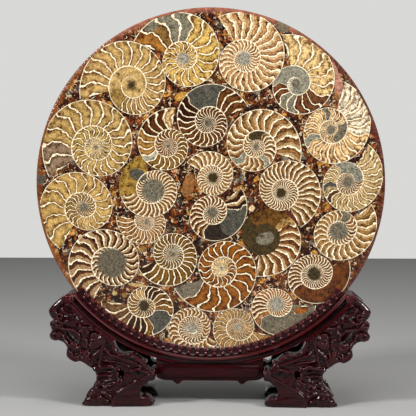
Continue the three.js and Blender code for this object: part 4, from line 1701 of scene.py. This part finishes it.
DRAGON_RIDGES = (
    Ridge("knee roll", 1.9, 4.6, ((80.4, 33.2), (85, 34), (90, 33), (95, 32.2), (98.6, 31.4))),
    Ridge("brow roll", 3.1, 1.2, ((122.7, 89.6), (126.7, 89.7), (130.4, 87.9), (133.1, 84.8),
        (134.5, 81.1), (133.4, 77.5), (131.3, 74.2))),
    Ridge("brow roll tip", 1.6, 3.4, ((131.3, 74.2), (129.4, 76.3), (129.7, 79.4),
        (131.3, 81))),
    Ridge("brow curl", 1.5, 4.4, ((124.4, 84.4), (123.6, 81.3), (120.5, 79.3), (116.7, 77.4),
        (113.2, 77.9), (112.2, 79.8), (114.2, 81.3))),
    Ridge("brow inner", 2, 2, ((122.1, 86.7), (117.5, 85.2), (112.1, 82.1), (108.2, 77.9))),
    Ridge("eye ring", 0.75, 4.3, ((128.2, 76), (127.5, 75.1), (126.4, 74.6), (125.3, 74.8),
        (124.5, 75.6), (124.1, 76.7), (124.5, 77.8), (125.3, 78.6), (126.4, 78.8), (127.5, 78.4),
        (128.2, 77.4))),
    Ridge("under eye", 0.9, 4, ((129.6, 75.2), (127.4, 72.5), (124.4, 70.9), (121.3, 71.6),
        (120.1, 73.6))),
    Ridge("snout", 1.35, 4.1, ((131.3, 72.3), (129.4, 69.8), (127.1, 67.2), (122.8, 65.5),
        (118.2, 65), (114, 64.1), (111.2, 62.1), (109.6, 59.4), (109.9, 56.7))),
    Ridge("nose spike", 1, 3.2, ((134.2, 70.5), (132.8, 71.9), (131.1, 70.9))),
    Ridge("nose low", 1.3, 3, ((134.2, 67.1), (132.4, 67.9), (130.1, 67.1), (127.8, 65.4))),
    Ridge("nose under", 1.1, 2.2, ((134.2, 64.8), (132.1, 64.9), (129.7, 64.4))),
    Ridge("jaw curl", 1.05, 3.6, ((128.2, 63.3), (127, 61.9), (126.6, 60.1), (127.2, 58.5),
        (128.3, 57.4), (129.8, 57), (131.2, 57.4), (132.2, 58.3), (132.6, 59.6), (132.3, 60.7),
        (131.6, 61.5), (130.6, 61.9), (129.7, 61.7), (129, 61.1), (128.8, 60.4), (128.9, 59.7),
        (129.3, 59.3))),
    Ridge("gum", 1.15, 3.4, ((126.1, 63.2), (123.6, 60.1), (122.1, 56.7), (119.4, 52.8),
        (115.9, 50), (112.1, 49.3), (109, 51.5))),
    Ridge("teeth", 0.7, 3.6, ((117.5, 52), (115.8, 54), (114.2, 51.5), (112.7, 53.6),
        (111.5, 51.3))),
    Ridge("chin", 1.7, 1.8, ((120.5, 50.1), (120.5, 44.7), (117.5, 41), (113.6, 38.4),
        (110.2, 39.7))),
    Ridge("chin inner", 0.9, 2.8, ((117.5, 47), (116.3, 43.6), (112.8, 41.6), (109.8, 43.2),
        (108.6, 46.7))),
    Ridge("cheek curl", 1.7, 4.2, ((110.2, 70), (108.2, 67.5), (104.4, 66.2), (100.2, 66.3),
        (97.6, 64.8))),
    Ridge("cheek curl 2", 1.4, 4, ((109, 64.8), (105.9, 63.2), (101.3, 63.2))),
    Ridge("cheek curl 3", 1.6, 3.8, ((108.2, 72.9), (105.2, 71.3), (100.9, 70.5),
        (96.7, 68.6))),
    Ridge("shoulder ring", 1.8, 3.2, ((99.8, 67.1), (95.8, 65.7), (92.1, 63.2), (89.6, 59),
        (89.2, 54), (91, 49.3), (94.4, 45.6), (97.9, 42.4), (99.6, 38.2), (99.8, 33.5))),
    Ridge("shoulder arc 1", 0.65, 4.2, ((99.8, 61.8), (97, 62.2), (94.4, 61.3), (92.4, 59.4),
        (91.4, 56.8), (91.6, 54), (93.1, 51.6), (95.4, 50), (98.1, 49.6), (100.8, 50.4))),
    Ridge("shoulder arc 2", 0.65, 4.9, ((100, 60), (97.4, 60.7), (94.9, 59.8), (93.2, 57.7),
        (92.9, 55.1), (94.1, 52.7), (96.4, 51.3), (99.1, 51.3), (101.3, 52.8))),
    Ridge("shoulder arc 3", 0.65, 5.2, ((100.1, 58), (98.3, 59.1), (96.3, 58.8), (94.8, 57.4),
        (94.5, 55.3), (95.5, 53.5), (97.4, 52.7), (99.4, 53.2), (100.7, 54.8))),
    Ridge("shoulder eye", 0.6, 5.2, ((96.1, 55.9), (96.5, 57), (97.6, 57.4), (98.7, 57),
        (99.2, 55.9), (98.7, 54.8), (97.6, 54.4), (96.5, 54.8), (96.1, 55.9))),
    Ridge("small curl", 1, 4.3, ((107.3, 56.7), (105.2, 57.7), (103.4, 55.5), (103.2, 52.6),
        (104.8, 50))),
    Ridge("neck 1", 0.6, 2.6, ((109, 49), (108.2, 43.2), (105.9, 37.8))),
    Ridge("neck 2", 0.6, 2.8, ((106.9, 48.2), (105.9, 42.8), (103.8, 36.6))),
    Ridge("neck 3", 0.6, 2.8, ((104.6, 47.7), (103.8, 42.4), (101.9, 36.1))),
    Ridge("neck 4", 0.6, 2.6, ((102.4, 47.2), (101.8, 42), (100.4, 36.6))),
    Ridge("neck edge", 1.5, 1.6, ((113.2, 37.8), (109.8, 38.4), (106.7, 36.1), (102.9, 33.5),
        (99.6, 32))),
    Ridge("back of neck", 1.2, 2.4, ((89, 50.1), (91.2, 45.5), (92.1, 40.1), (93.6, 34.9))),
    Ridge("gap lip", 1.3, 3.2, ((82.1, 57.2), (81.4, 53.2), (79.7, 49), (76.6, 45.6),
        (72.1, 44), (66.9, 44.3))),
    Ridge("gap lip 2", 1.2, 3.2, ((66, 42.4), (62.1, 41.2), (58.7, 38.7), (56, 36.4),
        (53.1, 33.5))),
    Ridge("body ridge", 1.2, 2.8, ((88.1, 49.3), (84, 44.3), (79, 42.3), (73.7, 40.5),
        (67.5, 38.2), (61.4, 36.2), (56.8, 33.3))),
    Ridge("body ridge 2", 0.9, 2.2, ((89.8, 39.3), (84.4, 38.2), (78.3, 37.6), (72.1, 36.1),
        (67.1, 33.5))),
    Ridge("ledge", 1.5, 3.8, ((99.4, 31.2), (96.7, 33.3), (92.9, 33.9), (89, 33), (84.4, 33.5),
        (78.4, 32.5))),
    Ridge("bracket top", 1.4, 3.6, ((67.1, 29.3), (63.7, 31.2), (59.1, 31.6), (54.5, 29.5),
        (50.6, 28.7), (47.4, 30.5))),
    Ridge("small scroll", 0.9, 3.4, ((81.7, 19.4), (77.5, 21.4), (74.1, 23), (74.7, 20.1),
        (77.9, 19))),
    Ridge("leg hole rim", 1, 2.6, ((77.5, 29.3), (77.5, 25.5), (76, 21.6))),
    Ridge("leg rib", 1.35, 2, ((95.8, 29.2), (89.8, 30.3), (83, 29.5))),
    Ridge("leg rib", 1.35, 2, ((96.9, 25.4), (89.8, 26.5), (83, 25.7))),
    Ridge("leg rib", 1.35, 2, ((98.1, 21.5), (89.8, 22.6), (83, 21.8))),
    Ridge("leg rib", 1.35, 2, ((99.4, 17.3), (89.8, 18.4), (83, 17.6))),
    Ridge("leg rib", 1.35, 2, ((100.6, 13), (89.8, 14.1), (83, 13.3))),
    Ridge("foot band", 1.4, 2.2, ((99.8, 10), (93.6, 11.6), (87.5, 10.8), (82.1, 7.7))),
    Ridge("toe band", 1.8, 1.6, ((104, 3.9), (99.8, 6.9), (93.6, 7.7), (89, 6), (84.4, 3.1))),
    Ridge("inner toe", 1.1, 2.6, ((56.8, 7.7), (54.5, 6), (51.4, 6.8), (49.7, 7.9))),
)
DRAGON_DOMES = (
    Dome("leg spur", 100, 10.6, 2.6, 6.4),
    Dome("brow top", 129.4, 86, 3.4, 4),
    Dome("muzzle", 127.4, 69, 4.6, 3.2),
    Dome("head", 117.5, 71.7, 7.5, 3.4),
    Dome("eye", 126.2, 76.7, 1.3, 5),
    Dome("cheek", 105.9, 60.1, 6, 3),
    Dome("jaw ball", 130.1, 60, 4.3, 3.6),
    Dome("shoulder", 97.6, 55.9, 8, 4.4),
    Dome("neck lobe", 105.2, 42.4, 6, 2.4),
    Dome("chin ball", 114.4, 42.4, 4.4, 2.2),
    Dome("leg ball", 76.6, 31.5, 1.9, 4.6),
    Dome("leg scale", 87.5, 21.7, 2.8, 6.4),
    Dome("leg scale", 94.9, 20.6, 2.8, 6.4),
    Dome("leg scale", 88.5, 16.4, 2.8, 6.4),
    Dome("leg scale", 95.9, 15.6, 2.8, 6.4),
    Dome("leg scale", 89, 11.6, 2.6, 6.4),
    Dome("toe", 104.4, 4.6, 4.4, 4.6),
    Dome("foot", 95.4, 5.6, 6.4, 6.2),
    Dome("leg", 89, 21.6, 6.8, 2.2),
    Dome("inner toe ball", 54.5, 5.8, 2.6, 2.6),
    Dome("body", 77.5, 39.3, 9, 1.6),
    Dome("body left", 86, 41.6, 7, 2.4),
)


@dataclass
class DragonSupport:
    """Side support: carved panels front and back, and the block between them.

    No scales lie on the toe, the foot or the bracket, which these bounds in x and z mark.
    """

    ground: float = 32.0
    panel_back: float = 16.0
    crest: float = 5.3
    voxel: float = 0.48
    kept_share: float = 0.4
    scale_size: float = 2.3
    scale_height: float = 0.5
    scale_levels: int = 4
    scales_from: Point3 = (2.4, 1.4, 1.5)
    toe_bounds: Point2 = (62, 30)
    foot_top: float = 8
    bracket_slope: Point3 = (46, 28, 1.7)
    outline_steps: int = 3
    ridge_steps: int = 5
    ridge_margin: float = 0.3
    dome_margin: float = 0.92
    dome_root: float = 1
    dome_rise: float = 0.6
    web_overlap: float = 1.5
    bracket: Loop = (
        (46.5, 29.6), (51.5, 27.2), (58.5, 23.4), (66.1, 19.6), (73.8, 15.6), (79.2, 10.8),
        (81.8, 6.2), (82.0, 0.4), (52.0, 0.4), (49.9, 3.6), (49.8, 6.6), (53.2, 8.6),
        (57.3, 8.8), (59.0, 11.8), (57.2, 16.2), (51.0, 21.4), (46.5, 22.6),
    )
    bracket_upper: int = 8
    bracket_face: Point2 = (4.2, 2.2)
    bracket_root: float = 6
    bracket_round: float = 1.1
    bracket_lip: Point3 = (-0.7, 3.9, 1.25)
    outline: Loop = (
        (112, 92.4), (120.8, 95.4), (126.3, 91.4), (132.8, 85.6), (135.9, 80.9), (134.4, 76.3),
        (131.3, 72.4), (134.8, 71.7), (135.1, 68.6), (133.6, 64), (135.4, 60.9), (134.8, 57.5),
        (132.1, 55.9), (128, 55.8), (123.6, 54), (120.5, 49.4), (120.5, 42.4), (114, 37.8),
        (109, 38.5), (100.6, 33.2), (96.8, 29.3), (95.8, 22.3), (99, 16.2), (102.8, 12.3),
        (105.5, 5.4), (104.3, 0), (51.4, 0), (49.4, 6.2), (53.2, 8.8), (57.5, 8.8),
        (59.2, 11.6), (57.5, 16.2), (50.7, 21.6), (46.3, 22.4), (46.3, 32.1), (49.8, 30.2),
        (52.9, 33.4), (53.6, 37.8), (56.8, 39.3), (65.2, 44.7), (73.7, 44.7), (78.2, 47.8),
        (81.4, 54), (83, 58.4), (98, 75.4),
    )
    mouth: Loop = ((121.7, 64), (115, 62.9), (109, 57.9), (111, 53.4), (117, 55.9))
    leg_hole: Loop = ((76, 30.8), (72.2, 29.5), (73.5, 22.8), (77.7, 24.4))
    web: Loop = (
        (112, 86.4), (106, 64.4), (106, 48.4), (93, 36.4), (91, 24.4), (95, 14.4), (80, 14.4),
        (81, 33.4), (69, 33.4), (69, 26.4), (46.3, 24.4), (46.3, 29.4), (58, 29.4), (66, 40.4),
        (76, 41.4), (83, 48.4), (86, 62.4),
    )
    underfloor: Loop = ((20.0, -6.0), (150.0, -6.0), (150.0, 0.0), (20.0, 0.0))

    def relief(self, edge: np.ndarray) -> list[Piece]:
        """Model the raised carving of the front panel.

        Args:
            edge: The panel's outline.

        Returns:
            Its bars and bosses.
        """
        lines = []
        for ridge in DRAGON_RIDGES:
            path = drawn_in(flowing(ridge.points, self.ridge_steps), edge,
                            ridge.radius - self.ridge_margin)
            crest = min(self.crest, ridge.lift + 0.5 * ridge.radius)
            lines.append((path, -self.ground - crest + ridge.radius, ridge.radius))
        pieces = [tubes("carved_lines", lines), self.smooth_bracket()]
        for dome in DRAGON_DOMES:
            (x, z), = drawn_in(np.array([[dome.x, dome.z]]), edge,
                               dome.radius * self.dome_margin)
            boss = primitive("uv_sphere", dome.label, segments=32, ring_count=16, radius=1)
            height = self.dome_rise * dome.lift + self.dome_root
            boss.location = (x * MM, (self.dome_root - self.ground) * MM, z * MM)
            boss.scale = (dome.radius * MM, height * MM, dome.radius * MM)
            settle(boss)
            pieces.append(boss)
        return pieces

    def smooth_bracket(self) -> Piece:
        """Model the plain bracket that sweeps down from the apron into the inner toe.

        Returns:
            A closed block whose face leans back towards its lower edge.
        """
        high, low = self.bracket_face
        piece = prism("bracket", self.bracket, -self.ground - low,
                      -self.ground + self.bracket_root)
        for i in range(self.bracket_upper):
            piece.data.vertices[i].co.y = -(self.ground + high) * MM
        round_edges(piece, self.bracket_round)
        shift, out, radius = self.bracket_lip
        path = flowing(self.bracket[:self.bracket_upper], self.ridge_steps) + shift
        lip = tubes("bracket_lip", [(path, -self.ground - out, radius)])
        return join("bracket", piece, lip)

    def scaled_ground(self, piece: Piece) -> None:
        """Cover the sunk ground of the carving with fine scales.

        Args:
            piece: The panel, already one closed mesh.
        """
        flat = np.zeros(len(piece.data.vertices) * 3)
        piece.data.vertices.foreach_get("co", flat)
        x, y, z = flat.reshape(-1, 3).T / MM
        start, fade, end = self.scales_from
        deep = np.clip((y + self.ground + start) / fade, 0, 1) * (y < -self.ground + end)
        left, top, slope = self.bracket_slope
        plain = (x < self.toe_bounds[0]) & (z < self.toe_bounds[1])
        plain |= (z < self.foot_top) | (x - left < (top - z) * slope)
        weight = np.where(plain, 0, np.round(deep * self.scale_levels)).astype(int)
        group = piece.vertex_groups.new(name="ground")
        for level in range(1, self.scale_levels + 1):
            chosen = np.flatnonzero(weight == level).tolist()
            group.add(chosen, level / self.scale_levels, "REPLACE")
        texture = bpy.data.textures.new("scales", "VORONOI")
        texture.noise_scale = self.scale_size * MM
        texture.noise_intensity = 1.3
        modify(piece, "DISPLACE", texture=texture, texture_coords="LOCAL", direction="Y",
               mid_level=0.5, strength=self.scale_height * MM, vertex_group="ground")
        bpy.data.textures.remove(texture)

    def panel(self) -> Piece:
        """Carve the front panel of the right support.

        Returns:
            The panel as one closed mesh.
        """
        steps = self.outline_steps
        edge = flowing(self.outline, steps, closed=True)
        panel = prism("panel", edge, -self.ground, -self.panel_back)
        for hole in (self.mouth, self.leg_hole):
            tool = prism("hole", flowing(hole, steps, closed=True), -STAND_HALF_DEPTH - 1,
                         -self.panel_back + 1)
            cut(panel, tool)
            remove(tool)
        panel = join("panel", panel, *self.relief(edge))
        modify(panel, "REMESH", mode="VOXEL", voxel_size=self.voxel * MM, adaptivity=0)
        modify(panel, "SMOOTH", factor=0.5, iterations=2)
        self.scaled_ground(panel)
        modify(panel, "DECIMATE", ratio=self.kept_share)
        return panel

    def build(self) -> dict[str, Piece]:
        """Make both supports.

        Returns:
            The supports by the name of their side.
        """
        piece = self.panel()
        depth = self.panel_back + self.web_overlap
        reach = STAND_HALF_DEPTH + 1
        scroll = SCROLL_HALF_DEPTH + GAP
        tools = {
            mirrored(piece, "back_panel", (1, -1, 1)): "UNION",
            prism("web", self.web, -depth, depth): "UNION",
            disc("room", (0, SLAB_CENTRE_Z), RAIL_OUTER + GAP, -reach, reach): "DIFFERENCE",
            disc("scroll_room", on_arc(SCROLL_ARC, RAIL_HALF_ANGLE), SCROLL_RADIUS + GAP,
                 -scroll, scroll, 48): "DIFFERENCE",
            prism("below", self.underfloor, -reach, reach): "DIFFERENCE",
        }
        for tool, way in tools.items():
            cut(piece, tool, way, "MANIFOLD")
        remove(*tools)
        clean(piece)
        smooth(piece, 50)
        piece.name = "dragon_support_right_carved"
        return {"right": piece, "left": mirrored(piece, "dragon_support_left_carved", (-1, 1, 1))}


@dataclass
class StandApron:
    """Recessed board under the rail, with two drops, and ends carried up to the arc."""

    half_width: float = 46.0
    half_depth: float = 16.0
    low_z: float = 19.4
    shoulder_z: float = 33.0
    top_z: float = 39.0
    sunk: float = 1.3
    drop: Point3 = (27.7, 5.0, 3.4)
    drop_shape: Loop = ((-1, 0), (-0.75, 0.12), (-0.45, 0.6), (0, 1), (0.45, 0.6), (0.75, 0.12),
                        (1, 0))
    corner: Loop = ((40.0, 0.4), (43.5, 1.5), (46.0, 3.0))
    plate: Loop = ((-41.5, 33.4), (-44.0, 28.6), (-40.0, 22.4), (40.0, 22.4), (44.0, 28.6),
                   (41.5, 33.4))
    plate_depth: float = 2.5
    plate_round: float = 0.8
    edge_round: float = 0.9
    sharp_angle: float = 40.0

    def build(self) -> Piece:
        """Make the apron.

        Returns:
            The finished mesh.
        """
        x, wide, deep = self.drop
        half = [(x + across * wide, self.low_z - down * deep) for across, down in self.drop_shape]
        half += [(across, self.low_z + up) for across, up in self.corner]
        half.append((self.half_width, RAIL_FLAT_Z - GAP))
        outline = half + [(-x, z) for x, z in half[::-1]]
        face = self.half_depth - self.sunk
        board = prism("apron", outline, -face, face)
        box = ((-self.half_width, self.shoulder_z), (self.half_width, self.shoulder_z),
               (self.half_width, self.top_z), (-self.half_width, self.top_z))
        ends = prism("ends", box, -face, face)
        room = disc("room", (0, SLAB_CENTRE_Z), RAIL_OUTER + GAP, -STAND_HALF_DEPTH,
                    STAND_HALF_DEPTH)
        cut(ends, room)
        cut(board, ends, "UNION")
        remove(ends, room)
        clean(board)
        round_edges(board, self.edge_round, limit_method="ANGLE",
                    angle_limit=math.radians(self.sharp_angle))
        plates = []
        for side in (-1, 1):
            depths = (side * self.half_depth, side * (self.half_depth - self.plate_depth))
            plate = prism("plate", self.plate, *sorted(depths))
            round_edges(plate, self.plate_round)
            plates.append(plate)
        board = join("stand_apron_cut", board, *plates)
        smooth(board, self.sharp_angle)
        return board


# ---------------------------------------------------------------- the studio
@dataclass(frozen=True)
class Lamp:
    """Square soft light: where it hangs and its side in metres, power in watts, colour."""

    name: str
    place: Point3
    size: float
    power: float
    colour: Point3 = (1, 1, 1)


@dataclass
class Studio:
    """Plain pale floor, soft lights and the camera."""

    target: Point3 = (-2.04, 0.0, 167.2)
    distance: float = 1150.0
    azimuth: float = 2.0
    elevation: float = 2.0
    focal_pixels: float = 1327.7
    sensor: float = 36.0
    wall_tone: float = 0.69
    room_tone: float = 0.14
    room_colour: Colour = (1.0, 1.0, 0.975, 1)
    floor_size: float = 3.4
    floor_colour: Colour = (0.4, 0.4, 0.395, 1)
    aim: Point3 = (0, 0, 0.17)
    lamps: tuple[Lamp, ...] = (
        Lamp("key_left", (-1.3, -1.1, 1.1), 0.36, 33),
        Lamp("key_right", (1.4, -1.0, 0.9), 0.34, 27, (1.0, 0.98, 0.95)),
        Lamp("window", (0.72, -2.2, 0.78), 0.9, 5),
        Lamp("overhead", (0.05, -0.5, 1.7), 0.8, 10),
    )

    def camera(self) -> None:
        """Stand the camera a little to the right of the middle, looking slightly down."""
        data = bpy.data.cameras.new("camera")
        camera = placed("camera", data)
        azimuth, elevation = math.radians(self.azimuth), math.radians(self.elevation)
        away = Vector((math.sin(azimuth) * math.cos(elevation),
                       -math.cos(azimuth) * math.cos(elevation), math.sin(elevation)))
        camera.location = Vector(self.target) * MM + away * self.distance * MM
        camera.rotation_euler = away.to_track_quat("Z", "Y").to_euler()
        data.sensor_width = self.sensor
        data.lens = self.focal_pixels / IMAGE_SIDE * self.sensor
        bpy.context.scene.camera = camera

    def floor(self) -> None:
        """Lay a pale floor."""
        floor = primitive("plane", "floor", size=self.floor_size)
        material, graph, shader = new_material("pale_floor")
        graph.feed(shader, Base_Color=self.floor_colour, Roughness=0.6)
        floor.data.materials.append(material)

    def room(self) -> None:
        """Surround the set with a pale wall that gives little light of its own."""
        world = bpy.data.worlds.new("soft_room")
        world.use_nodes = True
        bpy.context.scene.world = world
        graph = Graph(world.node_tree)
        seen = graph.node("LightPath").outputs["Is Camera Ray"]
        graph.feed(world.node_tree.nodes["Background"], self.room_colour,
                   graph.line(seen, self.wall_tone - self.room_tone, self.room_tone))

    def build(self) -> None:
        """Set the whole scene."""
        self.camera()
        self.floor()
        self.room()
        for lamp in self.lamps:
            data = bpy.data.lights.new(lamp.name, "AREA")
            data.size, data.energy, data.color = lamp.size, lamp.power, lamp.colour
            light = placed(lamp.name, data)
            light.location = lamp.place
            away = Vector(lamp.place) - Vector(self.aim)
            light.rotation_euler = away.to_track_quat("Z", "Y").to_euler()
        bpy.context.scene.view_settings.view_transform = "Standard"


# ---------------------------------------------------------------- everything in order
def main() -> None:
    """Build every piece, report it, and set the scene."""
    logging.basicConfig(level=logging.INFO, format="%(name)s: %(message)s")
    effects = SeptaEffect().build(), MineralEffect().build()
    bound = disc("shell_bound", (0, SLAB_CENTRE_Z), SHELL_REACH, FACE_Y - 1, -FACE_Y, 192)
    tools = {shell.node: shell.cutter() for shell in SHELLS}
    for i, shell in enumerate(SHELLS):
        piece = shell.build(SHELLS[:i], tools, bound)
        material = shell.finish.material(shell.node, *shell.coil.centre(), *effects)
        hand_in(piece, shell.node, material)
    slab = MatrixSlab().build(tools.values(), bound)
    hand_in(slab, "matrix_slab", MatrixFinish().material())
    remove(bound, *tools.values())
    lacquer = LacquerFinish().material()
    hand_in(StandRail().build(), "stand_rail", lacquer)
    for side, piece in DragonSupport().build().items():
        hand_in(piece, f"dragon_support_{side}", lacquer)
    plain = LacquerFinish("plain_lacquer", raised_red=LacquerFinish.red, shine=0.08, coat=0.4)
    hand_in(StandApron().build(), "stand_apron", plain.material())
    Studio().build()


if __name__ == "__main__":
    main()
